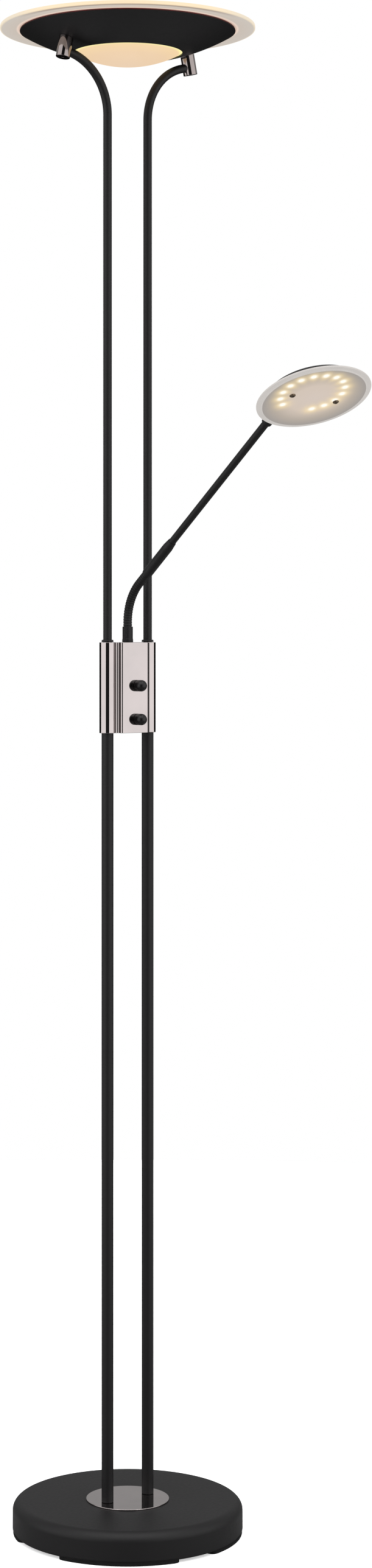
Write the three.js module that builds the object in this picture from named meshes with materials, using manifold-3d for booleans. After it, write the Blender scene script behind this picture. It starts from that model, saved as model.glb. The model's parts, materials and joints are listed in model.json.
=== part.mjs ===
// Torchiere floor lamp with two slim poles, a glass-topped bowl and a reading lamp on a gooseneck.
// Millimetres. +Z is up, -Y is the front, X runs along the row of the two poles.
// The origin is the centre of the base, on the floor.
import * as THREE from "three";
import { mergeVertices } from "three/addons/utils/BufferGeometryUtils.js";
import Module from "manifold-3d";

const wasm = await Module();
wasm.setup();

// ---------------------------------------------------------------- driving dimensions

const GAP = 0.3; // clearance between neighbouring pieces

// Base
const BASE_RADIUS = 137.5;
const BASE_TOP = 38.5;
const BASE_SHOULDER = 11.5;
const BASE_WALL = 1.5;
const FOOT_HEIGHT = 3.9;
const FOOT_SWEEP = 65; // degrees of rim that each of the four feet covers
const FOOT_SPREAD = 42; // degrees from straight ahead or straight back to a foot's middle
const FOOT_INNER_RADIUS = 124;
const FOOT_CORNER_SWEEP = 4; // degrees of rim taken by each rounded end
const PLATE_THICKNESS = 1.2;
const DISC_RADIUS = 49.7;
const DISC_TOP = 40;
const DISC_THICKNESS = 1.2;
const WEIGHT_RADIUS = 134.4;
const WEIGHT_TOP = 36.4;
const WEIGHT_CHAMFER = 10.4;
const PAD_RADIUS = 21;
const GROMMET_HEIGHT = 17;
const STUD_RADIUS = 4.8;
const STUD_TOP_RADIUS = 5.6; // where it fills the foot of a pole
const STUD_TOP = 59;

// Poles
const POLE_OFFSET = 30; // from the middle to each pole
const LOWER_RADIUS = 7.1;
const LOWER_BORE = 5.9;
const UPPER_RADIUS = 5.15;
const UPPER_BORE = 4;
const UPPER_START = 1020;
const BEND_START = 1691;
const BEND_RADIUS = 70;
const BEND_SWEEP = 78; // degrees, so the ends still climb at 12 degrees
const BARREL_INSERT = 4.5; // how far a tube end enters its barrel

// Switch box
const BOX_BOTTOM = 955.3;
const BOX_TOP = 1063.3;
const BOX_SLEEVE_RADIUS = 9.7; // the round sides that sleeve the poles
const BOX_HALF_WIDTH = 20.2; // the block between the poles
const BOX_FRONT = 15.7; // from the row of poles to the front face
const BOX_CORNER = 2.8;
const BOX_FILLET = 3.1;
const BOX_CAVITY = { halfWidth: 17.3, front: -13.5, back: 7.7 };
const CAP_THICKNESS = 2.5;
const KNOB_HEIGHTS = { upper: 1011.6, lower: 971.4 };
const KNOB_OFFSET = 3.7; // to the right of the middle
const KNOB_RADIUS = 6.9;
const KNOB_LENGTH = 13.3; // up to the tip of its domed end
const SHAFT_RADIUS = 3;
const SHAFT_LENGTH = 9.2; // in front of the face

// Gooseneck, in the plane X = 0
const NECK_START = 1082.4;
const NECK_RISE = 4.8; // upright stretch
const NECK_BEND_RADIUS = 58;
const ARM_ELEVATION = 36.97; // degrees above the horizontal
const NECK_STRAIGHT = 18.65; // stretch after the bend, up to the coupling
const NECK_RADIUS = 5.2;
const NECK_BORE = 2.2;
const NECK_JOINTS = 5;
const NECK_GAP = 1.5; // between links, so that they can bend
const SOCKET_BOTTOM_RADIUS = 6.6;
const SOCKET_TOP_RADIUS = 6.2;

// Reading arm, measured along the arm from the end of the gooseneck
const COUPLING_RADIUS = 6.1;
const COUPLING_STRAIGHT = 50;
const COUPLING_TAPER = 11;
const ARM_RADIUS = 4.35;
const ARM_BORE = 3.3;
const ARM_START = 16;
const ARM_END = 284;
const FERRULE_START = 277;
const FERRULE_END = 288;
const FERRULE_RADIUS = 6.25;
const TILT_AXIS_AT = 330; // along the arm
const HEAD_ROLL = -5.27; // degrees that the reading head is turned about the arm
const HEAD_DROOP = 10.77; // degrees that its face plane falls below the arm

// Reading head: a disc face, with the tilt hinge behind it
const HEAD_BELOW_HINGE = 26.4;
const HEAD_AHEAD_OF_HINGE = 35.6;
const FACE_RADIUS = 65;
const FACE_STEP_RADIUS = 59.4;
const HOUSING_RADIUS = 59.2;
const HOUSING_BACK_RADIUS = 38;
const HOUSING_DEPTH = 15;
const HOUSING_WALL = 1.6;
const BOARD_RADIUS = 51;
const LED_RING_RADIUS = 36.5;
const LED_SLOTS = 16;
const LED_COUNT = 14; // two slots at the back stay free for the lead
const FACE_SCREW_OFFSET = 30;

// Lamp head
const BOWL_SPHERE_RADIUS = 260;
const BOWL_OPENING_RADIUS = 65.7;
const BOWL_OPENING_HEIGHT = 1768;
const BOWL_RIM_RADIUS = 129;
const BOWL_RIM_TOP = 1794.4;
const BOWL_WALL = 1.8;
const GLASS_RADIUS = 152.5;
const GLASS_TOP = 1800;
const GLASS_THICKNESS = 4;
const DOME_SPHERE_RADIUS = 140;
const DOME_BOTTOM = 1753.5;
const DOME_WALL = 2;
const DOME_RADIUS = 64.6;
const BARREL_RADIUS = 8.5;
const BARREL_TUBE_HEIGHT = 9.1; // of the tube's axis above the barrel's bottom face
const BARREL_TILT = 90 - BEND_SWEEP;

// ---------------------------------------------------------------- materials

function finish(color, roughness, metalness) {
  return new THREE.MeshStandardMaterial({ color, roughness, metalness });
}

const satinBlack = finish(0x2a292b, 0.45, 0.3);
const blackNickel = finish(0x85797f, 0.08, 1);
const knobBlack = finish(0x1c1b1c, 0.3, 0);
const steel = finish(0x8c8f93, 0.35, 1);
const aluminium = finish(0xb9bcc0, 0.4, 1);
const concrete = finish(0x9a9893, 0.9, 0);
const blackRubber = finish(0x202020, 0.8, 0);
const boardGreen = finish(0x27563a, 0.6, 0);
const boardWhite = finish(0xe8e4da, 0.5, 0);
const dimmerBlue = finish(0x2c4a7a, 0.5, 0);
const frostedGlass = finish(0xd7d0cc, 0.35, 0);
const warmOpal = finish(0xf5d7ae, 0.4, 0);
const darkScrew = finish(0x4a4038, 0.4, 1);

// ---------------------------------------------------------------- shape helpers

const radians = THREE.MathUtils.degToRad;

// A closed geometry as a manifold-3d solid.
function toSolid(geometry) {
  const loose = geometry.index ? geometry.toNonIndexed() : geometry;
  const bare = new THREE.BufferGeometry();
  bare.setAttribute("position", loose.getAttribute("position"));
  const merged = mergeVertices(bare, 1e-4);
  const vertProperties = merged.getAttribute("position").array;
  const triVerts = new Uint32Array(merged.index.array);
  return new wasm.Manifold(new wasm.Mesh({ numProp: 3, vertProperties, triVerts }));
}

function toGeometry(solid) {
  const { vertProperties, triVerts } = solid.getMesh();
  const shared = new THREE.BufferGeometry();
  shared.setAttribute("position", new THREE.BufferAttribute(new Float32Array(vertProperties), 3));
  shared.setIndex(new THREE.BufferAttribute(new Uint32Array(triVerts), 1));
  const geometry = shared.toNonIndexed();
  geometry.computeVertexNormals();
  return geometry;
}

function cut(geometry, ...tools) {
  return toGeometry(tools.reduce((left, tool) => left.subtract(toSolid(tool)), toSolid(geometry)));
}

function join(geometry, ...others) {
  return toGeometry(others.reduce((whole, other) => whole.add(toSolid(other)), toSolid(geometry)));
}

// Points of an arc about (r, z), in degrees from the +r direction.
function arc(r, z, radius, from, to, steps) {
  return Array.from({ length: steps + 1 }, (_, i) => {
    const angle = radians(from + ((to - from) * i) / steps);
    return [r + radius * Math.cos(angle), z + radius * Math.sin(angle)];
  });
}

// Points of a spherical bowl's section, at equal steps of radius from the axis.
function bowlArc(sphereRadius, centreHeight, from, to, steps) {
  return Array.from({ length: steps + 1 }, (_, i) => {
    const r = from + ((to - from) * i) / steps;
    return [r, centreHeight - Math.sqrt(sphereRadius ** 2 - r ** 2)];
  });
}

// A profile of [radius, height] points turned about the Y axis.
function turnedAboutY(profile, segments) {
  return new THREE.LatheGeometry(
    profile.map(([r, h]) => new THREE.Vector2(r, h)),
    segments,
  );
}

// The same, turned about the Z axis. The profile keeps its material on its left.
function turned(profile, segments = 32) {
  return turnedAboutY(profile, segments).rotateX(Math.PI / 2);
}

function rod(radius, from, to, segments = 16, chamfer = 0) {
  const corners = chamfer
    ? [[radius - chamfer, from], [radius, from + chamfer], [radius, to - chamfer], [radius - chamfer, to]]
    : [[radius, from], [radius, to]];
  return turned([[0, from], ...corners, [0, to]], segments);
}

function ring(outer, inner, from, to, segments = 20) {
  return turned([[outer, from], [outer, to], [inner, to], [inner, from], [outer, from]], segments);
}

function block(width, depth, from, to, x = 0, y = 0) {
  return new THREE.BoxGeometry(width, depth, to - from).translate(x, y, (from + to) / 2);
}

// An outline in X and Y, pulled up along Z.
function extruded(shape, from, to, curveSegments = 8) {
  const options = { depth: to - from, bevelEnabled: false, curveSegments };
  return new THREE.ExtrudeGeometry(shape, options).translate(0, 0, from);
}

function roundShape(outer, inner) {
  const shape = new THREE.Shape();
  shape.absarc(0, 0, outer, 0, 2 * Math.PI);
  shape.holes.push(new THREE.Path().absarc(0, 0, inner, 0, 2 * Math.PI));
  return shape;
}

function hexNut(cornerRadius, bore, from, to) {
  const corners = Array.from({ length: 6 }, (_, i) => {
    const angle = (i * Math.PI) / 3;
    return new THREE.Vector2(cornerRadius * Math.cos(angle), cornerRadius * Math.sin(angle));
  });
  const shape = new THREE.Shape(corners);
  shape.holes.push(new THREE.Path().absarc(0, 0, bore, 0, 2 * Math.PI));
  return extruded(shape, from, to, 6);
}

// A hollow round bar swept along a path.
function sweptTube(path, outer, inner, steps, curveSegments = 6) {
  const options = { extrudePath: path, steps, curveSegments, bevelEnabled: false };
  return new THREE.ExtrudeGeometry(roundShape(outer, inner), options);
}

const lamp = new THREE.Group();

function part(name, geometry, material, parent = lamp) {
  const mesh = new THREE.Mesh(geometry, material);
  mesh.name = name;
  parent.add(mesh);
  return mesh;
}

const SIDES = { left: -1, right: 1 };

// ---------------------------------------------------------------- base

const plateTop = FOOT_HEIGHT + PLATE_THICKNESS;
const shellBottom = plateTop + 0.2;
const shoulderCentre = { r: BASE_RADIUS - BASE_SHOULDER, z: BASE_TOP - BASE_SHOULDER };
const studHole = STUD_RADIUS + GAP + 0.1;
const nutPocket = { radius: 11.5, top: 14.5 };

function atEachPole(makeTool) {
  return Object.values(SIDES).map((side) => makeTool().translate(side * POLE_OFFSET, 0, 0));
}

function makeBase() {
  const shell = turned([
    [0, BASE_TOP - BASE_WALL],
    ...arc(shoulderCentre.r, shoulderCentre.z, BASE_SHOULDER - BASE_WALL, 90, 0, 2),
    [BASE_RADIUS - BASE_WALL, shellBottom],
    [BASE_RADIUS, shellBottom],
    ...arc(shoulderCentre.r, shoulderCentre.z, BASE_SHOULDER, 0, 90, 4),
    [0, BASE_TOP],
  ], 48);
  const leadHole = rod(4.6, 125, 145, 12).rotateX(-Math.PI / 2).translate(0, 0, GROMMET_HEIGHT);
  const shellHoles = atEachPole(() => rod(studHole, BASE_TOP - 5, BASE_TOP + 5));
  part("base_shell", cut(shell, leadHole, ...shellHoles), satinBlack);

  const weight = turned([
    [0, shellBottom],
    [WEIGHT_RADIUS, shellBottom],
    [WEIGHT_RADIUS, WEIGHT_TOP - WEIGHT_CHAMFER],
    [WEIGHT_RADIUS - WEIGHT_CHAMFER, WEIGHT_TOP],
    [0, WEIGHT_TOP],
  ], 36);
  const weightHoles = atEachPole(() => rod(studHole, 0, BASE_TOP));
  const pockets = atEachPole(() => rod(nutPocket.radius, 0, nutPocket.top, 20));
  part("base_weight", cut(weight, ...weightHoles, ...pockets), concrete);

  part("base_plate", rod(BASE_RADIUS - 1.1, FOOT_HEIGHT, plateTop, 48), satinBlack);
  part("centre_pad", rod(PAD_RADIUS, 0, FOOT_HEIGHT - 0.2, 24), blackRubber);

  const outer = BASE_RADIUS - 0.7;
  const half = radians(FOOT_SWEEP / 2);
  const rimHalf = radians(FOOT_SWEEP / 2 - FOOT_CORNER_SWEEP);
  const onCircle = (radius, angle) => [radius * Math.cos(angle), radius * Math.sin(angle)];
  const footShape = new THREE.Shape();
  footShape.absarc(0, 0, outer, -rimHalf, rimHalf, false);
  footShape.quadraticCurveTo(...onCircle(outer, half), ...onCircle(FOOT_INNER_RADIUS, half));
  footShape.absarc(0, 0, FOOT_INNER_RADIUS, half, -half, true);
  footShape.quadraticCurveTo(...onCircle(outer, -half), ...onCircle(outer, -rimHalf));
  const footMiddles = {
    back_right: 90 - FOOT_SPREAD,
    back_left: 90 + FOOT_SPREAD,
    front_left: -90 - FOOT_SPREAD,
    front_right: -90 + FOOT_SPREAD,
  };
  for (const [corner, middle] of Object.entries(footMiddles)) {
    const foot = part(`foot_${corner}`, extruded(footShape, 0, FOOT_HEIGHT, 9), blackRubber);
    foot.rotation.z = radians(middle);
  }

  const disc = rod(DISC_RADIUS, DISC_TOP - DISC_THICKNESS, DISC_TOP, 36, 0.4);
  const discHoles = atEachPole(() => rod(studHole, BASE_TOP - 5, BASE_TOP + 5));
  part("base_disc", cut(disc, ...discHoles), blackNickel);

  const grommet = turned([
    [2.6, BASE_RADIUS - 2.6],
    [4.3, BASE_RADIUS - 2.6],
    [4.3, BASE_RADIUS + GAP],
    [6.5, BASE_RADIUS + GAP],
    [6.5, BASE_RADIUS + 1.2],
    [5.6, BASE_RADIUS + 1.9],
    [2.6, BASE_RADIUS + 1.9],
    [2.6, BASE_RADIUS - 2.6],
  ], 16).rotateX(-Math.PI / 2);
  part("lead_grommet", grommet, blackRubber).position.z = GROMMET_HEIGHT;

  for (const [name, side] of Object.entries(SIDES)) {
    const stud = turned([
      [0, 6],
      [STUD_RADIUS - 0.6, 6],
      [STUD_RADIUS, 6.6],
      [STUD_RADIUS, DISC_TOP + GAP],
      [STUD_TOP_RADIUS, DISC_TOP + GAP],
      [STUD_TOP_RADIUS, STUD_TOP - 1],
      [STUD_TOP_RADIUS - 1, STUD_TOP],
      [0, STUD_TOP],
    ], 16);
    part(`pole_stud_${name}`, stud, steel).position.x = side * POLE_OFFSET;
    part(`pole_nut_${name}`, hexNut(9.4, studHole, 7.6, 14), steel).position.x = side * POLE_OFFSET;
  }
}

// ---------------------------------------------------------------- poles

// An upper tube's centre line: straight up, round the bend, then a short straight end.
// Its first and last spans are straight, and the spans between them share the bend.
const UPPER_SPANS = 9;

class UpperTubePath extends THREE.Curve {
  constructor(side) {
    super();
    this.side = side;
  }

  getUtoTmapping(u) {
    return u;
  }

  getPoint(t, target = new THREE.Vector3()) {
    const span = t * UPPER_SPANS;
    const rise = Math.min(span, 1);
    const turn = radians(BEND_SWEEP) * THREE.MathUtils.clamp((span - 1) / (UPPER_SPANS - 2), 0, 1);
    const insert = BARREL_INSERT * Math.max(span - UPPER_SPANS + 1, 0);
    const reach = POLE_OFFSET + BEND_RADIUS * (1 - Math.cos(turn)) + insert * Math.sin(turn);
    const height = THREE.MathUtils.lerp(UPPER_START, BEND_START, rise)
      + BEND_RADIUS * Math.sin(turn) + insert * Math.cos(turn);
    return target.set(this.side * reach, 0, height);
  }
}

function makePoles() {
  for (const [name, side] of Object.entries(SIDES)) {
    const lower = part(
      `lower_tube_${name}`,
      ring(LOWER_RADIUS, LOWER_BORE, DISC_TOP + GAP, BOX_TOP - GAP),
      satinBlack,
    );
    lower.position.x = side * POLE_OFFSET;

    const collar = turned([
      [UPPER_RADIUS + GAP, BOX_TOP + GAP],
      [LOWER_RADIUS, BOX_TOP + GAP],
      ...arc(LOWER_RADIUS - 1.4, BOX_TOP + 1.7, 1.4, 0, 90, 2),
      [UPPER_RADIUS + GAP, BOX_TOP + 3.1],
      [UPPER_RADIUS + GAP, BOX_TOP + GAP],
    ], 20);
    part(`pole_collar_${name}`, collar, satinBlack).position.x = side * POLE_OFFSET;

    const upper = sweptTube(new UpperTubePath(side), UPPER_RADIUS, UPPER_BORE, UPPER_SPANS);
    part(`upper_tube_${name}`, upper, satinBlack);
  }
}

// ---------------------------------------------------------------- switch box

// The hollow corner between the block and a sleeve is an arc: its circle touches the block's
// side at x = BOX_HALF_WIDTH, and the sleeve from outside.
const filletX = BOX_HALF_WIDTH + BOX_FILLET;
const filletReach = BOX_SLEEVE_RADIUS + BOX_FILLET;
const filletY = -Math.sqrt(filletReach ** 2 - (POLE_OFFSET - filletX) ** 2);
const filletAngle = Math.atan2(-filletY, POLE_OFFSET - filletX);

// The outline of the box seen from above: a sleeve at each end, and the block standing forward.
function boxOutline() {
  const shape = new THREE.Shape();
  const up = Math.PI / 2;
  const cornerX = BOX_HALF_WIDTH - BOX_CORNER;
  const cornerY = BOX_CORNER - BOX_FRONT;
  const sleeveTouch = Math.PI + filletAngle;
  shape.absarc(POLE_OFFSET, 0, BOX_SLEEVE_RADIUS, up, sleeveTouch - 2 * Math.PI, true);
  shape.absarc(filletX, filletY, BOX_FILLET, filletAngle, Math.PI, false);
  shape.absarc(cornerX, cornerY, BOX_CORNER, 0, -up, true);
  shape.absarc(-cornerX, cornerY, BOX_CORNER, -up, -Math.PI, true);
  shape.absarc(-filletX, filletY, BOX_FILLET, 0, Math.PI - filletAngle, false);
  shape.absarc(-POLE_OFFSET, 0, BOX_SLEEVE_RADIUS, -filletAngle, -3 * up, true);
  shape.closePath();
  return shape;
}

function cavityOutline(inset) {
  const x = BOX_CAVITY.halfWidth - inset;
  const path = new THREE.Shape();
  path.moveTo(-x, BOX_CAVITY.front + inset);
  path.lineTo(x, BOX_CAVITY.front + inset);
  path.lineTo(x, BOX_CAVITY.back - inset);
  path.lineTo(-x, BOX_CAVITY.back - inset);
  path.closePath();
  return path;
}

// A group whose +Z points out of the box's front face, at a knob's height.
function knobGroup(height) {
  const group = new THREE.Group();
  group.position.set(KNOB_OFFSET, -BOX_FRONT, height);
  group.rotation.x = Math.PI / 2;
  lamp.add(group);
  return group;
}

function makeKnob(name, height) {
  const group = knobGroup(height);
  const shaftHole = SHAFT_RADIUS + GAP;
  const knob = turned([
    [0, SHAFT_LENGTH + GAP],
    [shaftHole, SHAFT_LENGTH + GAP],
    [shaftHole, 0.5],
    [KNOB_RADIUS - 0.5, 0.5],
    [KNOB_RADIUS, 1],
    ...arc(0, KNOB_LENGTH - KNOB_RADIUS, KNOB_RADIUS, 0, 82, 5),
    [0, KNOB_LENGTH],
  ], 22);
  part(`knob_${name}`, knob, knobBlack, group);
  part(`knob_shaft_${name}`, rod(SHAFT_RADIUS, -7, SHAFT_LENGTH, 12, 0.4), steel, group);

  const body = join(block(16, 16, -9.1, -2.5), rod(4.4, -3, 0.3, 16));
  part(`dimmer_${name}`, cut(body, rod(shaftHole, -7.3, 5, 12)), dimmerBlue, group);
}

function makeBox() {
  const outline = boxOutline();
  outline.holes.push(cavityOutline(0));
  for (const side of Object.values(SIDES)) {
    const bore = new THREE.Path().absarc(side * POLE_OFFSET, 0, LOWER_RADIUS + GAP, 0, 2 * Math.PI);
    outline.holes.push(bore);
  }
  const bushHoles = Object.values(KNOB_HEIGHTS).map((height) =>
    rod(4.7, 10, 20, 16).rotateX(Math.PI / 2).translate(KNOB_OFFSET, 0, height),
  );
  part("box_shell", cut(extruded(outline, BOX_BOTTOM, BOX_TOP, 6), ...bushHoles), blackNickel);

  const topCap = cavityOutline(GAP);
  topCap.holes.push(new THREE.Path().absarc(0, 0, 5.1, 0, 2 * Math.PI));
  const capTop = BOX_TOP - 0.2;
  part("box_top_cap", extruded(topCap, capTop - CAP_THICKNESS, capTop), blackNickel);
  const capBottom = BOX_BOTTOM + 0.2;
  part("box_bottom_cap", extruded(cavityOutline(GAP), capBottom, capBottom + CAP_THICKNESS), blackNickel);
  part("control_board", block(30, 1.6, 962, 1050, 0, -0.8), boardGreen);

  for (const [name, height] of Object.entries(KNOB_HEIGHTS)) makeKnob(name, height);
}

// ---------------------------------------------------------------- gooseneck

const neckTurn = radians(90 - ARM_ELEVATION);
const neckArc = NECK_BEND_RADIUS * neckTurn;
const neckLength = NECK_RISE + neckArc + NECK_STRAIGHT;

// How far forward and how high the neck's centre line is, at a distance along it.
function neckPoint(distance) {
  const rise = Math.min(distance, NECK_RISE);
  const turn = THREE.MathUtils.clamp((distance - NECK_RISE) / NECK_BEND_RADIUS, 0, neckTurn);
  const beyond = Math.max(distance - NECK_RISE - neckArc, 0);
  const forward = NECK_BEND_RADIUS * (1 - Math.cos(turn)) + beyond * Math.sin(turn);
  const height = NECK_START + rise + NECK_BEND_RADIUS * Math.sin(turn) + beyond * Math.cos(turn);
  return new THREE.Vector3(0, -forward, height);
}

class NeckStretch extends THREE.Curve {
  constructor(from, to) {
    super();
    this.from = from;
    this.to = to;
  }

  getPoint(t, target = new THREE.Vector3()) {
    return target.copy(neckPoint(THREE.MathUtils.lerp(this.from, this.to, t)));
  }
}

// The bend joints lie at equal steps along the neck, with half a step before the first.
function neckJointAt(index) {
  return (neckLength * (index - 0.5)) / NECK_JOINTS;
}

function makeNeck() {
  const socket = turned([
    [2.5, 1053],
    [4.8, 1053],
    [4.8, BOX_TOP + 0.1],
    [SOCKET_BOTTOM_RADIUS, BOX_TOP + 0.1],
    [SOCKET_BOTTOM_RADIUS, BOX_TOP + 2.5],
    [SOCKET_TOP_RADIUS, BOX_TOP + 3.4],
    [SOCKET_TOP_RADIUS, NECK_START - 0.8],
    [SOCKET_TOP_RADIUS - 0.6, NECK_START - 0.2],
    [4.2, NECK_START - 0.2],
    [4.2, 1066],
    [2.5, 1066],
    [2.5, 1053],
  ], 16);
  part("neck_socket", socket, satinBlack);
  part("neck_nut", hexNut(7.6, 5.1, 1056.5, 1060.2), steel);

  const spigot = ring(3.9, NECK_BORE, 1067, NECK_START + 1, 16);
  for (let link = 0; link <= NECK_JOINTS; link += 1) {
    const from = link === 0 ? GAP : neckJointAt(link) + NECK_GAP / 2;
    const to = link === NECK_JOINTS ? neckLength + 12 : neckJointAt(link + 1) - NECK_GAP / 2;
    const tube = sweptTube(new NeckStretch(from, to), NECK_RADIUS, NECK_BORE, 2);
    part(`neck_link_${link}`, link === 0 ? join(tube, spigot) : tube, satinBlack);
  }
}

// ---------------------------------------------------------------- reading arm and head

// A group whose +Z runs along the arm, from the end of the gooseneck.
const armGroup = new THREE.Group();
armGroup.position.copy(neckPoint(neckLength));
armGroup.rotation.x = neckTurn;
lamp.add(armGroup);

// The swivel turns about the arm. Its X axis is then the tilt hinge's direction.
const swivelGroup = new THREE.Group();
swivelGroup.rotation.z = radians(HEAD_ROLL);
armGroup.add(swivelGroup);

// In the head's group Y points out of its back, Z away from the arm, and the origin is on the hinge.
const headGroup = new THREE.Group();
headGroup.position.z = TILT_AXIS_AT;
headGroup.rotation.x = radians(HEAD_DROOP);
swivelGroup.add(headGroup);

function makeArm() {
  const tubeBore = ARM_RADIUS + GAP;
  const sleeveEnd = COUPLING_STRAIGHT + COUPLING_TAPER;
  const coupling = turned([
    [NECK_RADIUS + GAP, 0],
    [COUPLING_RADIUS - 0.3, 0],
    [COUPLING_RADIUS, 0.5],
    [COUPLING_RADIUS, COUPLING_STRAIGHT],
    [ARM_RADIUS + 0.8, sleeveEnd],
    [tubeBore, sleeveEnd],
    [tubeBore, 14],
    [NECK_RADIUS + GAP, 13],
    [NECK_RADIUS + GAP, 0],
  ], 16);
  part("neck_coupling", coupling, satinBlack, armGroup);
  part("arm_tube", ring(ARM_RADIUS, ARM_BORE, ARM_START, ARM_END, 16), satinBlack, armGroup);

  const ferrule = turned([
    [tubeBore, FERRULE_START],
    [FERRULE_RADIUS - 0.6, FERRULE_START],
    [FERRULE_RADIUS, FERRULE_START + 0.6],
    [FERRULE_RADIUS, FERRULE_END],
    [tubeBore, FERRULE_END],
    [tubeBore, FERRULE_START],
  ], 16);
  part("arm_ferrule", ferrule, satinBlack, armGroup);
}

const ear = { inner: 3.1, outer: 6.1, halfHeight: 4.6 };
const hingePinRadius = 1.9;

// A plate with one round end about the hinge axis, from x to x + thickness.
function hingePlate(x, thickness, radius, outline) {
  const shape = outline(radius);
  const options = { depth: thickness, bevelEnabled: false, curveSegments: 7 };
  // The outline is drawn in (-Z, Y) and pulled along X.
  return new THREE.ExtrudeGeometry(shape, options).rotateY(Math.PI / 2).translate(x, 0, 0);
}

function makeSwivel() {
  const fork = new THREE.Group();
  fork.position.z = TILT_AXIS_AT;
  swivelGroup.add(fork);
  const stem = turned([
    [0, 268 - TILT_AXIS_AT],
    [ARM_BORE - GAP, 268 - TILT_AXIS_AT],
    [ARM_BORE - GAP, FERRULE_END + 0.4 - TILT_AXIS_AT],
    [FERRULE_RADIUS, FERRULE_END + 0.4 - TILT_AXIS_AT],
    [FERRULE_RADIUS, -25],
    [FERRULE_RADIUS - 1.2, -22],
    [0, -22],
  ], 16);
  const earOutline = (radius) => {
    const shape = new THREE.Shape();
    shape.absarc(0, 0, radius, -Math.PI / 2, Math.PI / 2, true);
    shape.lineTo(23, radius);
    shape.lineTo(23, -radius);
    shape.closePath();
    return shape;
  };
  const ears = [-ear.outer, ear.inner].map((x) =>
    hingePlate(x, ear.outer - ear.inner, ear.halfHeight, earOutline),
  );
  const pinHole = rod(hingePinRadius + 0.2, -10, 10, 12).rotateY(Math.PI / 2);
  part("swivel_fork", cut(join(stem, ...ears), pinHole), satinBlack, fork);

  const pin = rod(hingePinRadius, -ear.outer - 0.9, ear.outer + 0.9, 12, 0.3).rotateY(Math.PI / 2);
  part("tilt_pin", pin, steel, fork);
}

// LEDs stand on the board's face at equal steps round a ring.
function ledBumps(count, slots, first, radius, size, from, to) {
  return Array.from({ length: count }, (_, i) => {
    const angle = radians(first + (360 / slots) * (i + 1));
    return new THREE.BoxGeometry(size, to - from, size)
      .translate(radius, (from + to) / 2, 0)
      .rotateY(-angle);
  });
}

function makeReadingHead() {
  const face = new THREE.Group();
  face.position.set(0, -HEAD_BELOW_HINGE, HEAD_AHEAD_OF_HINGE);
  headGroup.add(face);

  const side = (rim, back, depth) =>
    new THREE.QuadraticBezierCurve(
      new THREE.Vector2(rim, 1.8),
      new THREE.Vector2(rim - 7.2, depth - 1.5),
      new THREE.Vector2(back, depth),
    ).getPoints(3).map((p) => [p.x, p.y]);
  const inner = side(HOUSING_RADIUS - HOUSING_WALL, HOUSING_BACK_RADIUS - 1, HOUSING_DEPTH - HOUSING_WALL);
  const housing = turnedAboutY([
    [0, HOUSING_DEPTH - HOUSING_WALL],
    ...inner.reverse(),
    ...side(HOUSING_RADIUS, HOUSING_BACK_RADIUS, HOUSING_DEPTH),
    [0, HOUSING_DEPTH],
  ], 36);
  const alongY = (geometry, x) => geometry.rotateX(-Math.PI / 2).translate(x, 0, 0);
  const screwX = [-FACE_SCREW_OFFSET, FACE_SCREW_OFFSET];
  const posts = screwX.map((x) => alongY(rod(3.6, 6.8, HOUSING_DEPTH - 1, 12), x));
  const pilots = screwX.map((x) => alongY(rod(1.8, 0, HOUSING_DEPTH - 1.6, 10), x));
  const bracketHole = alongY(rod(3.3, 10, 30, 12), 0).translate(0, 0, -20);
  part("reading_housing", cut(join(housing, ...posts), ...pilots, bracketHole), satinBlack, face);

  const board = turnedAboutY([[0, 4.8], [BOARD_RADIUS, 4.8], [BOARD_RADIUS, 6.4], [0, 6.4]], 28);
  const leds = ledBumps(LED_COUNT, LED_SLOTS, -90 + 11.25, LED_RING_RADIUS, 3.4, 3.9, 5);
  const boardHoles = screwX.map((x) => alongY(rod(2, 0, 10, 10), x));
  part("reading_led_board", cut(join(board, ...leds), ...boardHoles), boardWhite, face);

  const glass = turnedAboutY([
    [0, -2],
    [FACE_STEP_RADIUS, -2],
    [FACE_STEP_RADIUS, -1],
    [FACE_RADIUS - 0.6, -1],
    [FACE_RADIUS, -0.4],
    [FACE_RADIUS, 0.9],
    [FACE_RADIUS - 0.6, 1.5],
    [0, 1.5],
  ], 44);
  const glassHoles = screwX.map((x) => alongY(rod(1.9, -5, 5, 10), x));
  part("reading_glass", cut(glass, ...glassHoles), frostedGlass, face);

  for (const [name, sign] of Object.entries(SIDES)) {
    const screw = turned([
      [0, -4.1],
      [2.2, -4.1],
      [3.5, -3.1],
      [3.5, -2.2],
      [1.6, -2.2],
      [1.6, 12],
      [0, 12.8],
    ], 14);
    part(`face_screw_${name}`, alongY(screw, sign * FACE_SCREW_OFFSET), darkScrew, face);
  }

  // The bracket: a round foot on the housing's back, and a lug up to the hinge.
  const footTop = HOUSING_DEPTH + 2.2 - HEAD_BELOW_HINGE;
  const footBottom = HOUSING_DEPTH + GAP - HEAD_BELOW_HINGE;
  const foot = turnedAboutY([
    [0, footBottom],
    [13, footBottom],
    [13, footTop - 0.6],
    [12.4, footTop],
    [0, footTop],
  ], 24).translate(0, 0, 15.6);
  const lugOutline = (radius) => {
    const shape = new THREE.Shape();
    shape.absarc(0, 0, radius, Math.PI, 0, true);
    shape.lineTo(radius, -2);
    shape.lineTo(-4, footTop - 0.6);
    shape.lineTo(-22, footTop - 0.6);
    shape.lineTo(-22, footTop + 0.4);
    shape.closePath();
    return shape;
  };
  const lug = hingePlate(-2.7, 5.4, 4.2, lugOutline);
  const pinHole = rod(hingePinRadius + 0.2, -10, 10, 12).rotateY(Math.PI / 2);
  part("head_bracket", cut(join(foot, lug), pinHole), satinBlack, headGroup);
}

// ---------------------------------------------------------------- lamp head

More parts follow.
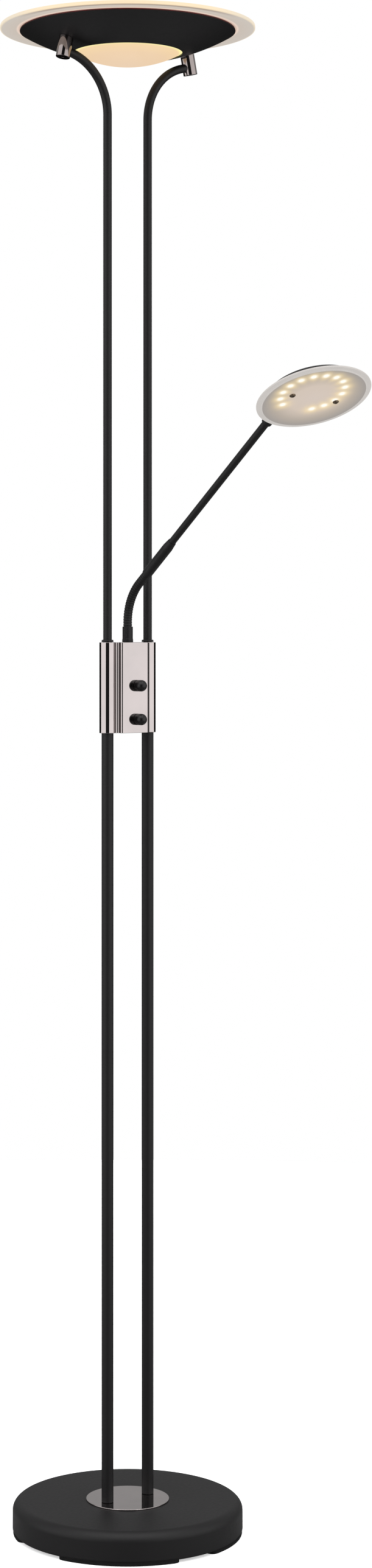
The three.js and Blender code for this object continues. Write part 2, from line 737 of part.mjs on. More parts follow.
const bowlCentre = BOWL_OPENING_HEIGHT + Math.sqrt(BOWL_SPHERE_RADIUS ** 2 - BOWL_OPENING_RADIUS ** 2);
const bowlOutside = bowlArc(BOWL_SPHERE_RADIUS, bowlCentre, BOWL_OPENING_RADIUS, BOWL_RIM_RADIUS, 5);
const BOWL_SEGMENTS = 48;

function makeLampHead() {
  const innerSphere = BOWL_SPHERE_RADIUS - BOWL_WALL;
  const rimInner = BOWL_RIM_RADIUS - 3.5;
  const inside = bowlArc(innerSphere, bowlCentre, BOWL_OPENING_RADIUS, rimInner, 3);
  const bowl = turned([
    ...bowlOutside,
    [BOWL_RIM_RADIUS, BOWL_RIM_TOP],
    [rimInner, BOWL_RIM_TOP],
    ...inside.reverse(),
    bowlOutside[0],
  ], BOWL_SEGMENTS);

  const glassBottom = GLASS_TOP - GLASS_THICKNESS;
  const seal = ring(BOWL_RIM_RADIUS - 0.6, rimInner + GAP, BOWL_RIM_TOP + GAP, glassBottom - GAP, 32);
  part("glass_seal", seal, blackRubber);
  const glass = turned([
    [0, glassBottom],
    [GLASS_RADIUS - 1, glassBottom],
    [GLASS_RADIUS, glassBottom + 1],
    [GLASS_RADIUS, GLASS_TOP - 1],
    [GLASS_RADIUS - 1, GLASS_TOP],
    [0, GLASS_TOP],
  ], 56);
  part("glass_disc", glass, frostedGlass);

  const domeCentre = DOME_BOTTOM + DOME_SPHERE_RADIUS;
  const domeInner = DOME_RADIUS - DOME_WALL;
  const flange = { bottom: 1771.2, top: 1772.4, radius: 69 };
  const dome = turned([
    ...bowlArc(DOME_SPHERE_RADIUS, domeCentre, 0, DOME_RADIUS, 5),
    [DOME_RADIUS, flange.bottom],
    [flange.radius, flange.bottom],
    [flange.radius, flange.top],
    [domeInner, flange.top],
    ...bowlArc(DOME_SPHERE_RADIUS - DOME_WALL, domeCentre, 0, domeInner, 3).reverse(),
  ], 36);
  part("dome_diffuser", dome, warmOpal);
  part("dome_ring", ring(70, 59, flange.top + GAP, flange.top + 1.8, 28), steel);

  const plate = { bottom: 1786.2, top: 1788.2 };
  const disc = turnedAboutY([[0, plate.bottom], [107, plate.bottom], [107, plate.top], [0, plate.top]], 28);
  const up = ledBumps(12, 12, 0, 80, 5, plate.top - 0.2, plate.top + 0.8);
  const down = ledBumps(8, 8, 0, 40, 5, plate.bottom - 0.8, plate.bottom + 0.2);
  part("light_plate", join(disc, ...up, ...down).rotateX(Math.PI / 2), aluminium);

  // Everything at or above the bowl's underside, to trim the barrels to it.
  const aboveBowl = turned([
    [0, BOWL_OPENING_HEIGHT - GAP],
    ...bowlOutside.map(([r, z]) => [r, z - GAP]),
    [BOWL_RIM_RADIUS + 5, GLASS_TOP],
    [0, GLASS_TOP],
  ], BOWL_SEGMENTS);

  const screwHoles = [];
  for (const [name, side] of Object.entries(SIDES)) {
    const tilt = radians(BARREL_TILT);
    const tubeEnd = new UpperTubePath(side).getPoint((UPPER_SPANS - 1) / UPPER_SPANS);
    const group = new THREE.Group();
    group.rotation.y = -side * tilt;
    const outward = new THREE.Vector3(side * Math.cos(tilt), 0, Math.sin(tilt));
    const upward = new THREE.Vector3(-side * Math.sin(tilt), 0, Math.cos(tilt));
    group.position.copy(tubeEnd)
      .addScaledVector(outward, BARREL_RADIUS)
      .addScaledVector(upward, -BARREL_TUBE_HEIGHT);
    lamp.add(group);
    group.updateMatrixWorld();

    const toLocal = group.matrixWorld.clone().invert();
    const tubeBore = rod(UPPER_RADIUS + GAP, -12, BARREL_INSERT + GAP - BARREL_RADIUS, 20)
      .rotateY(Math.PI / 2)
      .rotateZ(side < 0 ? Math.PI : 0)
      .translate(0, 0, BARREL_TUBE_HEIGHT);
    const barrel = rod(BARREL_RADIUS, 0, 34, 22, 0.5);
    const screwWay = rod(2.2, -1, 40, 12);
    const headWay = rod(3.8, -1, 3.4, 16);
    const trimmed = cut(barrel, aboveBowl.clone().applyMatrix4(toLocal), tubeBore, screwWay, headWay);
    part(`barrel_${name}`, trimmed, blackNickel, group);

    const screw = turned([[0, 0.6], [3.3, 0.6], [3.3, 3], [1.8, 3], [1.8, 33], [0, 33.6]], 12);
    const hexSocket = rod(1.5, -1, 2, 6);
    part(`barrel_screw_${name}`, cut(screw, hexSocket), darkScrew, group);
    screwHoles.push(rod(2.3, 10, 45, 12).applyMatrix4(group.matrixWorld));
  }
  part("bowl", cut(bowl, ...screwHoles), satinBlack);
}

makeBase();
makePoles();
makeBox();
makeNeck();
makeArm();
makeSwivel();
makeReadingHead();
makeLampHead();

export default lamp;
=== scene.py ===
# Looks of the torchiere floor lamp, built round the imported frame.
# The frame is in metres. Sizes below are in millimetres and are scaled once, in the mesh helpers.
# +Z is up, -Y is the front, and X runs along the row of the two poles.
import json
import math

import bmesh
import bpy
from mathutils import Matrix, Vector


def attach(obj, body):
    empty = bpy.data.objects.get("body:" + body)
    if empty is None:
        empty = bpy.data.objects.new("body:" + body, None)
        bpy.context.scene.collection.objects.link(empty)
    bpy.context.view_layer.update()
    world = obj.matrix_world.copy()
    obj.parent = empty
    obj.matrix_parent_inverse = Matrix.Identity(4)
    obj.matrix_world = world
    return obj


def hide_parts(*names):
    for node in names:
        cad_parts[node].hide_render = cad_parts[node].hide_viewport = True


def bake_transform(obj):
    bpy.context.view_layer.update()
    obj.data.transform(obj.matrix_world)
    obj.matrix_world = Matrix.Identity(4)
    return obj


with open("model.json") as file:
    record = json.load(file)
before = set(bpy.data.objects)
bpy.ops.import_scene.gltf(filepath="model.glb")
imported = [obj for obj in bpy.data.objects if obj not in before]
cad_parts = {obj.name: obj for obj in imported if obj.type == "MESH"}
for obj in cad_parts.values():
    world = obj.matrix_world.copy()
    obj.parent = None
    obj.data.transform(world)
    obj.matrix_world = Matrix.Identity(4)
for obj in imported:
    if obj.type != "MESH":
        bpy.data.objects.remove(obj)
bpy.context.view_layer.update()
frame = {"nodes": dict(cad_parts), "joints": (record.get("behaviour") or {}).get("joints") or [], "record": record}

MM = 0.001
UPRIGHT = Matrix.Identity(4)
SIDES = {"left": -1, "right": 1}
JOINTS = {joint["name"]: joint for joint in frame["joints"]}

# ---------------------------------------------------------------- sizes

FINE = 128  # steps round a wide piece
ROUND = 64  # steps round a slim piece

BASE_RADIUS = 137.5
BASE_TOP = 38.5
BASE_SHOULDER = 11.5
BASE_BOTTOM = 5.3
COVER_WALL = 1.5
DISC_RADIUS = 49.7
DISC_TOP = 40.0
DISC_THICKNESS = 1.2
PLATE_RADIUS = 136.4
PLATE_TOP = 5.1
PLATE_BOTTOM = 3.9
PAD_RADIUS = 21
PAD_TOP = 3.7
FOOT_SWEEP = 65  # degrees
FOOT_SPREAD = 42  # degrees from straight ahead or straight back to a foot's middle
FOOT_INNER_RADIUS = 124
FOOT_CORNER_SWEEP = 4  # degrees
GROMMET_HEIGHT = 17

POLE_OFFSET = 30
LOWER_RADIUS = 7.1
UPPER_RADIUS = 5.15
UPPER_START = 1020
BEND_START = 1691
BEND_RADIUS = 70
BEND_SWEEP = 78  # degrees
TUBE_INSERT = 4.5  # how far a tube goes into its barrel
COLLAR_GAP = 0.25
COLLAR_HEIGHT = 3.1
TOUCH = 0.3  # the gap kept between pieces that stand on one another

BOX_BOTTOM = 955.3
BOX_TOP = 1063.3
SLEEVE_RADIUS = 9.7
BOX_HALF_WIDTH = 20.2
BOX_FRONT = 15.7
BOX_CORNER = 2.8
BOX_FILLET = 3.1
CAVITY_HALF_WIDTH = 17.3
CAVITY_FRONT = -12.6
CAVITY_BACK = 7.7
KNOB_RADIUS = 6.9
KNOB_LENGTH = 13.3

NECK_START = 1082.4
NECK_RISE = 4.8
NECK_BEND_RADIUS = 58.0
NECK_STRAIGHT = 18.65
NECK_RADIUS = 5.2
NECK_RIB_PITCH = 3.2
NECK_GROOVE = 0.55
NECK_JOINTS = 5

# Along the arm, from the end of the gooseneck.
COUPLING_END = 61
ARM_START = 16
ARM_END = 284
FERRULE_START = 277
SWIVEL_AT = 288.0
TILT_AXIS_AT = 330.0

ARM_RADIUS = 4.35
ARM_GAP = 0.25
COUPLING_RADIUS = 6.1
FERRULE_RADIUS = 6.25
EAR_RADIUS = 4.6
EAR_THICKNESS = 3.0
EAR_STARTS = (-6.1, 3.1)

HEAD_DROOP = 10.77  # degrees between the arm and the head's own frame
HEAD_BELOW_HINGE = 26.4
HEAD_AHEAD_OF_HINGE = 35.6
FACE_RADIUS = 65.0
FACE_STEP_RADIUS = 59.4
WINDOW_RADIUS = 58.6
HOUSING_RADIUS = 59.2
HOUSING_DEPTH = 15.0
HOUSING_WALL = 1.6
LED_RING = 36.5
LED_PITCH = 22.5  # degrees
LED_CORE = 3.3
LED_HALO = 8.2
LED_DEPTH = 6.8  # from the window's face back to the lamps
FACE_SCREW_OFFSET = 30.0

BOWL_SPHERE = 260.0
BOWL_OPENING = 65.7
BOWL_OPENING_HEIGHT = 1768.0
BOWL_RIM = 129.0
BOWL_RIM_TOP = 1794.4
BOWL_WALL = 1.8
BOWL_LIP = 3.5
GLASS_RADIUS = 152.5
GLASS_TOP = 1800.0
GLASS_THICKNESS = 4.0
DOME_SPHERE = 140.0
DOME_BOTTOM = 1753.5
DOME_RADIUS = 64.6
DOME_WALL = 2
FLANGE_RADIUS = 69
FLANGE_BOTTOM = 1771.2
FLANGE_TOP = 1772.4
BARREL_RADIUS = 8.5
BARREL_TUBE_HEIGHT = 9.1


# ---------------------------------------------------------------- outlines

def rounded(corners, steps=6, closed=False):
    """Points of an outline whose corners are given as (x, y, radius)."""
    points = []
    count = len(corners)
    for i, (x, y, radius) in enumerate(corners):
        at_end = not closed and i in (0, count - 1)
        if not radius or at_end:
            points.append((x, y))
            continue
        here = Vector((x, y))
        back = (Vector(corners[i - 1][:2]) - here).normalized()
        ahead = (Vector(corners[(i + 1) % count][:2]) - here).normalized()
        half = back.angle(ahead) / 2
        centre = here + (back + ahead).normalized() * (radius / math.sin(half))
        first = here + back * (radius / math.tan(half)) - centre
        last = here + ahead * (radius / math.tan(half)) - centre
        turn = first.angle_signed(last)
        for k in range(steps + 1):
            spoke = first.copy()
            spoke.rotate(Matrix.Rotation(-turn * k / steps, 2))
            points.append(tuple(centre + spoke))
    return points


def arc(x, y, radius, start, end, steps):
    """Points of an arc, in degrees from the +x direction."""
    angles = [math.radians(start + (end - start) * k / steps) for k in range(steps + 1)]
    return [(x + radius * math.cos(a), y + radius * math.sin(a)) for a in angles]


def between_points(start, pull, end, t):
    """The point at t, from 0 to 1, of a curve from start to end that is pulled towards a third point."""
    return tuple((1 - t) ** 2 * a + 2 * t * (1 - t) * b + t * t * c for a, b, c in zip(start, pull, end))


def bowl_arc(sphere, centre_height, start, end, steps):
    """Points of a spherical bowl's section, at equal steps of radius from the axis."""
    radii = [start + (end - start) * k / steps for k in range(steps + 1)]
    return [(r, centre_height - math.sqrt(sphere ** 2 - r ** 2)) for r in radii]


# ---------------------------------------------------------------- meshes

def to_object(name, bm, place=UPRIGHT, sharp=32):
    """A smooth-shaded object from a bmesh in millimetres, with its creases kept."""
    bmesh.ops.remove_doubles(bm, verts=bm.verts, dist=1e-4)
    bmesh.ops.recalc_face_normals(bm, faces=bm.faces)
    bmesh.ops.scale(bm, vec=(MM, MM, MM), verts=bm.verts)
    mesh = bpy.data.meshes.new(name)
    bm.to_mesh(mesh)
    bm.free()
    obj = bpy.data.objects.new(name, mesh)
    bpy.context.scene.collection.objects.link(obj)
    obj.matrix_world = place
    return smoothed(obj, sharp)


def applied(obj, modifier):
    """Turns a modifier's result into the object's own mesh."""
    bpy.context.view_layer.update()
    ready = obj.evaluated_get(bpy.context.evaluated_depsgraph_get())
    mesh = bpy.data.meshes.new_from_object(ready)
    obj.modifiers.remove(modifier)
    obj.data = mesh
    return obj


def smoothed(obj, sharp=32):
    """Smooth shading with creases kept, weighted by area so a rounded edge doesn't tilt a long wall."""
    obj.data.shade_smooth()
    obj.data.set_sharp_from_angle(angle=math.radians(sharp))
    modifier = obj.modifiers.new("weights", "WEIGHTED_NORMAL")
    modifier.keep_sharp = True
    return applied(obj, modifier)


def bridge(bm, low, high, closed=True):
    """Faces between two rings, either of which may be a single point."""
    count = max(len(low), len(high))
    for i in range(count if closed else count - 1):
        j = (i + 1) % count
        corners = [low[i % len(low)], low[j % len(low)], high[j % len(high)], high[i % len(high)]]
        corners = list(dict.fromkeys(corners))
        if len(corners) > 2:
            bm.faces.new(corners)


def lathe(name, profile, place=UPRIGHT, segments=ROUND, sharp=32):
    """A profile of (radius, height) points turned about the local Z axis."""
    bm = bmesh.new()
    turns = [2 * math.pi * i / segments for i in range(segments)]
    rings = []
    for r, z in profile:
        around = turns if r > 1e-6 else [0.0]
        rings.append([bm.verts.new((r * math.cos(a), r * math.sin(a), z)) for a in around])
    for low, high in zip(rings, rings[1:]):
        bridge(bm, low, high)
    return to_object(name, bm, place, sharp)


def sweep(name, path, across, radii, segments=ROUND, sharp=60):
    """A round bar along a flat path of points. across is the direction square to the path's plane."""
    bm = bmesh.new()
    rings = []
    for i, point in enumerate(path):
        along = (path[min(i + 1, len(path) - 1)] - path[max(i - 1, 0)]).normalized()
        side = along.cross(across).normalized()
        ring = []
        for k in range(segments):
            a = 2 * math.pi * k / segments
            spoke = across * math.cos(a) + side * math.sin(a)
            ring.append(bm.verts.new(point + spoke * radii[i]))
        rings.append(ring)
    for low, high in zip(rings, rings[1:]):
        bridge(bm, low, high)
    bm.faces.new(rings[0])
    bm.faces.new(rings[-1])
    return to_object(name, bm, UPRIGHT, sharp)


def plate(name, loops, low, high, edge, place=UPRIGHT, sharp=32):
    """Flat loops of points, an outline and its holes, pulled up along Z with rounded edges."""
    curve = bpy.data.curves.new(name, "CURVE")
    curve.dimensions = "2D"
    curve.fill_mode = "BOTH"
    curve.extrude = (high - low) / 2 - edge
    curve.bevel_depth = edge
    curve.bevel_resolution = 2
    curve.offset = -edge
    for loop in loops:
        spline = curve.splines.new("POLY")
        spline.points.add(len(loop) - 1)
        for point, (x, y) in zip(spline.points, loop):
            point.co = (x, y, 0, 1)
        spline.use_cyclic_u = True
    source = bpy.data.objects.new(name, curve)
    bpy.context.scene.collection.objects.link(source)
    ready = source.evaluated_get(bpy.context.evaluated_depsgraph_get())
    bm = bmesh.new()
    bm.from_mesh(ready.to_mesh())
    bpy.data.objects.remove(source)
    bpy.data.curves.remove(curve)
    bmesh.ops.translate(bm, vec=(0, 0, (low + high) / 2), verts=bm.verts)
    return to_object(name, bm, place, sharp)


def carve(target, tool, operation="DIFFERENCE"):
    """Cuts tool from target, or joins it on, and removes tool."""
    modifier = target.modifiers.new(operation, "BOOLEAN")
    modifier.operation = operation
    modifier.solver = "EXACT"
    modifier.object = tool
    applied(target, modifier)
    bpy.data.objects.remove(tool)
    return smoothed(target)


def add(obj, body, slot, *nodes):
    """Rides obj on a body, gives it its material and hides the CAD nodes it stands for."""
    obj.data.materials.clear()
    obj.data.materials.append(MATERIALS[slot])
    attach(obj, body)
    if nodes:
        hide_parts(*nodes)
    return obj


# ---------------------------------------------------------------- material nodes

class Shader:
    """A material with a Principled shader, and short calls for the nodes that feed it."""

    def __init__(self, name, **values):
        self.material = bpy.data.materials.new(name)
        self.material.use_nodes = True
        self.tree = self.material.node_tree
        self.surface = self.tree.nodes["Principled BSDF"]
        for socket, value in values.items():
            self.surface.inputs[socket.replace("_", " ")].default_value = value

    def node(self, kind, inputs=(), **settings):
        made = self.tree.nodes.new("ShaderNode" + kind)
        for key, value in settings.items():
            setattr(made, key, value)
        for key, value in dict(inputs).items():
            if isinstance(value, bpy.types.NodeSocket):
                self.tree.links.new(value, made.inputs[key])
            else:
                made.inputs[key].default_value = value
        return made

    def place(self):
        return self.node("TexCoord").outputs["Object"]

    def math(self, operation, *values):
        return self.node("Math", dict(enumerate(values)), operation=operation).outputs[0]

    def vector(self, operation, *values):
        sockets = ("Vector", "Scale") if operation == "SCALE" else range(len(values))
        made = self.node("VectorMath", dict(zip(sockets, values)), operation=operation)
        return made.outputs["Value" if operation in ("LENGTH", "DOT_PRODUCT") else "Vector"]

    def flat_radius(self):
        """Distance from the piece's own Z axis, in millimetres."""
        flat = self.vector("MULTIPLY", self.place(), (1000, 1000, 0))
        return self.vector("LENGTH", flat)

    def to_viewer(self):
        """The unit vector from the surface to the eye, in the piece's own frame."""
        incoming = self.node("NewGeometry").outputs["Incoming"]
        turned = self.node("VectorTransform", {0: incoming}, convert_from="WORLD", convert_to="OBJECT")
        return turned.outputs[0]

    def noise(self, scale, detail=3.0, stretch=(1, 1, 1)):
        where = self.vector("MULTIPLY", self.place(), stretch)
        inputs = {"Vector": where, "Scale": scale, "Detail": detail}
        return self.node("TexNoise", inputs).outputs[0]

    def between(self, factor, low, high):
        """Maps a 0 to 1 value onto a range of numbers."""
        inputs = {"Value": factor, "To Min": low, "To Max": high}
        return self.node("MapRange", inputs).outputs[0]

    def ramp(self, factor, stops):
        """Colours by position, from a list of (position, sRGB colour from 0 to 255)."""
        made = self.node("ValToRGB", {0: factor})
        elements = made.color_ramp.elements
        for i, (position, colour) in enumerate(stops):
            element = elements[i] if i < 2 else elements.new(position)
            element.position = position
            element.color = srgb(*colour)
        return made.outputs[0]

    def mix(self, factor, first, second):
        inputs = {0: factor, 6: first, 7: second}
        return self.node("Mix", inputs, data_type="RGBA").outputs[2]

    def bump(self, height, depth, strength=1.0):
        """Height is 0 to 1, and depth is in millimetres."""
        made = self.node("Bump", {"Strength": strength, "Distance": depth * MM, "Height": height})
        self.tree.links.new(made.outputs[0], self.surface.inputs["Normal"])

    def feed(self, socket, output):
        self.tree.links.new(output, self.surface.inputs[socket])


def srgb(red, green, blue):
    """A colour as it is seen on a screen, 0 to 255, as linear values."""
    def linear(value):
        value /= 255
        return value / 12.92 if value <= 0.04045 else ((value + 0.055) / 1.055) ** 2.4
    return (linear(red), linear(green), linear(blue), 1)


def satin_black():
    """Powder coat: a fine orange peel, and a slightly uneven sheen."""
    s = Shader("satin_black", Specular_IOR_Level=0.28)
    grain = s.noise(1400, 4)
    cloud = s.noise(9, 2)
    s.feed("Base Color", s.ramp(cloud, [(0.3, (15, 14, 15)), (0.7, (19, 18, 19))]))
    s.feed("Roughness", s.between(s.noise(260, 3), 0.46, 0.56))
    s.bump(grain, 0.02, 0.55)
    return s.material


def black_nickel(name, dark, light):
    """Mirror plating with a warm tint, and the faint unevenness of a polished extrusion."""
    s = Shader(name, Metallic=1.0)
    cloud = s.noise(24, 3)
    s.feed("Base Color", s.ramp(cloud, [(0.35, dark), (0.65, light)]))
    s.feed("Roughness", s.between(s.noise(110, 4), 0.02, 0.045))
    s.bump(s.noise(40, 2, (1, 1, 0.1)), 0.004, 0.1)
    return s.material


def knob_black():
    """Turned plastic, smoother than the powder coat."""
    s = Shader("knob_black", Specular_IOR_Level=0.3)
    s.feed("Base Color", s.ramp(s.noise(60, 3), [(0.3, (12, 10, 11)), (0.7, (16, 14, 15))]))
    s.feed("Roughness", s.between(s.noise(500, 3), 0.27, 0.36))
    s.bump(s.noise(1600, 3), 0.015, 0.4)
    return s.material


def metal(name, colour, shade, low, high):
    """Plain metal with a fine rolled grain."""
    s = Shader(name, Metallic=1.0)
    grain = s.noise(420, 5)
    s.feed("Base Color", s.ramp(grain, [(0.3, shade), (0.7, colour)]))
    s.feed("Roughness", s.between(grain, low, high))
    s.bump(grain, 0.02, 0.4)
    return s.material


def rubber():
    """Matt black rubber."""
    s = Shader("black_rubber", Specular_IOR_Level=0.2)
    s.feed("Base Color", s.ramp(s.noise(80, 4), [(0.3, (13, 13, 13)), (0.7, (18, 18, 18))]))
    s.feed("Roughness", s.between(s.noise(300, 3), 0.7, 0.85))
    s.bump(s.noise(900, 4), 0.06, 0.6)
    return s.material


def seal_red():
    """The silicone seal under the glass, dark red, with a painted glow for the lamp's light shining through it."""
    s = Shader("seal_red", Roughness=0.5, Emission_Strength=0.35)
    red_and_painted_glow = s.ramp(s.noise(120, 3), [(0.3, (62, 6, 10)), (0.7, (84, 12, 16))])
    s.feed("Base Color", red_and_painted_glow)
    # The same red is painted on as glow.
    s.feed("Emission Color", red_and_painted_glow)
    s.bump(s.noise(700, 2), 0.02, 0.4)
    return s.material


def cast_concrete():
    """The rough cast weight inside the base."""
    s = Shader("concrete", Specular_IOR_Level=0.2)
    grit = s.noise(160, 8)
    s.feed("Base Color", s.ramp(grit, [(0.3, (128, 126, 120)), (0.7, (176, 173, 166))]))
    s.feed("Roughness", s.between(grit, 0.85, 0.98))
    s.bump(grit, 0.4, 0.7)
    return s.material


def moulded(name, dark, light, low, high):
    """Moulded plastic with a fine spark-eroded grain."""
    s = Shader(name)
    grain = s.noise(900, 4)
    s.feed("Base Color", s.ramp(s.noise(70, 3), [(0.3, dark), (0.7, light)]))
    s.feed("Roughness", s.between(grain, low, high))
    s.bump(grain, 0.02, 0.4)
    return s.material


def frosted_disc():
    """Acid-etched glass with the lamp's light painted on as a glow: grey underneath, a painted bright ring just
    outside the bowl's rim, and cream at its outer edge.
    """
    s = Shader("frosted_disc", Roughness=0.45, Specular_IOR_Level=0.4, Emission_Strength=1.0)
    share = s.math("DIVIDE", s.flat_radius(), GLASS_RADIUS)
    # Painted glow by radius, with a painted highlight ring just outside the bowl's rim.
    across = s.ramp(share, [
        (0.70, (210, 190, 172)), (0.848, (206, 180, 164)), (0.862, (230, 208, 193)),
        (0.876, (196, 185, 174)), (0.985, (197, 189, 180)), (0.9965, (226, 212, 188)),
    ])
    ahead = s.ramp(share, [
        (0.70, (210, 190, 172)), (0.848, (206, 180, 164)), (0.862, (236, 214, 198)),
        (0.880, (194, 182, 171)), (0.925, (202, 193, 181)), (0.955, (172, 158, 146)),
        (0.972, (150, 132, 118)), (0.984, (204, 184, 162)), (0.9965, (240, 217, 178)),
    ])
    # Where the edge faces the eye, a painted dark line and a painted light line run along it. They stand for
    # reflections in the glass.
    outward = s.vector("NORMALIZE", s.vector("MULTIPLY", s.place(), (1, 1, 0)))
    sight = s.vector("NORMALIZE", s.vector("MULTIPLY", s.to_viewer(), (1, 1, 0)))
    facing = s.vector("DOT_PRODUCT", outward, sight)
    near = s.node("MapRange", {"Value": facing, "From Min": 0.45, "From Max": 0.8}).outputs[0]
    glow = s.mix(near, across, ahead)
    cloud = s.noise(40, 3)
    s.feed("Base Color", s.ramp(cloud, [(0.3, (84, 82, 81)), (0.7, (90, 88, 86))]))
    s.feed("Emission Color", glow)
    s.bump(s.noise(2200, 3), 0.01, 0.5)
    return s.material


def warm_opal():
    """The opal dome, glowing warm, with light leaking out bright at its rim."""
    s = Shader("warm_opal", Roughness=0.35, Specular_IOR_Level=0.3, Emission_Strength=1.0)
    share = s.math("DIVIDE", s.flat_radius(), DOME_RADIUS)
    glow = s.ramp(share, [
        (0.0, (233, 206, 177)), (0.7, (236, 206, 170)), (0.94, (242, 212, 166)), (0.985, (255, 246, 172)),
    ])
    s.feed("Base Color", s.ramp(s.noise(30, 2), [(0.3, (50, 46, 42)), (0.7, (56, 51, 46))]))
    s.feed("Emission Color", glow)
    s.bump(s.noise(1800, 2), 0.01, 0.4)
    return s.material


def lit_window():
    """The reading lamp's frosted window, with a ring of small lamps shining through from behind."""
    s = Shader("lit_window", Specular_IOR_Level=0.3, Emission_Strength=1.0)
    flat = s.vector("MULTIPLY", s.place(), (1000, 1000, 0))
    # Where the line of sight meets the lamps' own plane, behind the window.
    eye = s.to_viewer()
    outwards = s.math("MINIMUM", s.node("SeparateXYZ", {0: eye}).outputs[2], -0.2)
    slope = s.math("DIVIDE", LED_DEPTH, outwards)
    shift = s.vector("MULTIPLY", s.vector("SCALE", eye, slope), (1, 1, 0))
    behind = s.vector("ADD", flat, shift)
    split = s.node("SeparateXYZ", {0: behind})
    radius = s.vector("LENGTH", behind)
    angle = s.math("ABSOLUTE", s.math("ARCTAN2", split.outputs[0], split.outputs[1]))
    pitch = math.radians(LED_PITCH)
    # The lamps stand in the middles of their slots. The slot on each side of the lead is empty.
    slot = s.math("MAXIMUM", s.math("FLOOR", s.math("DIVIDE", angle, pitch)), 1.0)
    offset = s.math("SUBTRACT", angle, s.math("MULTIPLY", s.math("ADD", slot, 0.5), pitch))
    sideways = s.math("MULTIPLY", radius, s.math("SINE", offset))
    outward = s.math("SUBTRACT", s.math("MULTIPLY", radius, s.math("COSINE", offset)), LED_RING)
    from_lamp = s.node("CombineXYZ", {0: sideways, 1: outward}).outputs[0]
    distance = s.vector("LENGTH", from_lamp)

    def bell(value, width):
        scaled = s.math("DIVIDE", value, width)
        return s.math("EXPONENT", s.math("MULTIPLY", s.math("MULTIPLY", scaled, scaled), -1.0))

    share = s.math("DIVIDE", s.vector("LENGTH", flat), FACE_RADIUS)
    plain = s.ramp(share, [
        (0.0, (205, 191, 180)), (0.42, (204, 189, 175)),
        (0.70, (174, 163, 151)), (0.88, (154, 148, 143)),
    ])
    # The halos run together round the ring, and fade out into the gap at the lead.
    ripple = s.math("COSINE", s.math("MULTIPLY", offset, 2 * math.pi / pitch))
    joined = s.node("MapRange", {"Value": ripple, "From Min": -1.0, "To Min": 0.5}).outputs[0]
    fading = bell(sideways, LED_HALO)
    in_gap = s.math("LESS_THAN", angle, pitch)
    in_ring = s.math("SUBTRACT", 1.0, in_gap)
    along = s.math("ADD", s.math("MULTIPLY", joined, in_ring), s.math("MULTIPLY", fading, in_gap))
    halo = s.math("MULTIPLY", s.math("MULTIPLY", bell(outward, LED_HALO), along), 0.8)
    soft = s.mix(halo, plain, srgb(255, 227, 164))
    core = s.math("MINIMUM", s.math("MULTIPLY", bell(distance, LED_CORE), 1.6), 1.0)
    glow = s.mix(core, soft, srgb(255, 253, 244))
    s.feed("Base Color", s.ramp(s.noise(40, 3), [(0.3, (60, 58, 56)), (0.7, (66, 64, 62))]))
    s.feed("Emission Color", glow)
    s.feed("Roughness", s.between(s.noise(600, 3), 0.3, 0.4))
    s.bump(s.noise(2200, 3), 0.01, 0.4)
    return s.material


def frosted_rim():
    """The frosted rim round the window, lit faintly from inside."""
    s = Shader("frosted_rim", Emission_Strength=1.0)
    s.feed("Base Color", s.ramp(s.noise(40, 3), [(0.3, (96, 93, 92)), (0.7, (104, 100, 98))]))
    s.feed("Emission Color", s.ramp(s.noise(25, 2), [(0.3, (182, 178, 174)), (0.7, (188, 184, 180))]))
    s.feed("Roughness", s.between(s.noise(600, 3), 0.4, 0.5))
    s.bump(s.noise(2200, 3), 0.01, 0.4)
    return s.material


MATERIALS = {
    "satin_black": satin_black(),
    "black_nickel": black_nickel("black_nickel", (170, 163, 162), (176, 168, 167)),
    "knob_black": knob_black(),
    "steel": metal("steel", (190, 192, 196), (150, 152, 157), 0.25, 0.42),
    "aluminium": metal("aluminium", (206, 208, 210), (180, 182, 186), 0.3, 0.45),
    "concrete": cast_concrete(),
    "black_rubber": rubber(),
    "board_green": moulded("board_green", (34, 80, 54), (44, 96, 66), 0.45, 0.6),
    "board_white": moulded("board_white", (226, 222, 212), (238, 234, 226), 0.4, 0.5),
    "dimmer_blue": moulded("dimmer_blue", (38, 68, 116), (50, 82, 132), 0.4, 0.55),
    "frosted_glass": frosted_disc(),
    "warm_opal": warm_opal(),
    "dark_screw": metal("dark_screw", (132, 116, 98), (88, 76, 64), 0.25, 0.4),
}
SEAL = seal_red()
# A darker copy of the black nickel for the posts: painted shade, as they reflect less of the bright room than the
# case.
SHADED_POST_NICKEL = black_nickel("shaded_post_nickel", (136, 128, 126), (142, 133, 131))
LIT_WINDOW = lit_window()
FROSTED_RIM = frosted_rim()


# ---------------------------------------------------------------- base

def foot_outline(middle):
    """A foot from above: a stretch of the rim with rounded outer corners."""
    outer = BASE_RADIUS - 0.7
    half = FOOT_SWEEP / 2
    rim = half - FOOT_CORNER_SWEEP
    points = arc(0, 0, outer, middle - rim, middle + rim, 40)
    inner = arc(0, 0, FOOT_INNER_RADIUS, middle + half, middle - half, 40)

    def corner(start, end, angle):
        turn = math.radians(angle)
        tip = (outer * math.cos(turn), outer * math.sin(turn))
        return [between_points(start, tip, end, k / 10) for k in range(1, 10)]

    return (
        points + corner(points[-1], inner[0], middle + half)
        + inner + corner(inner[-1], points[0], middle - half)
    )


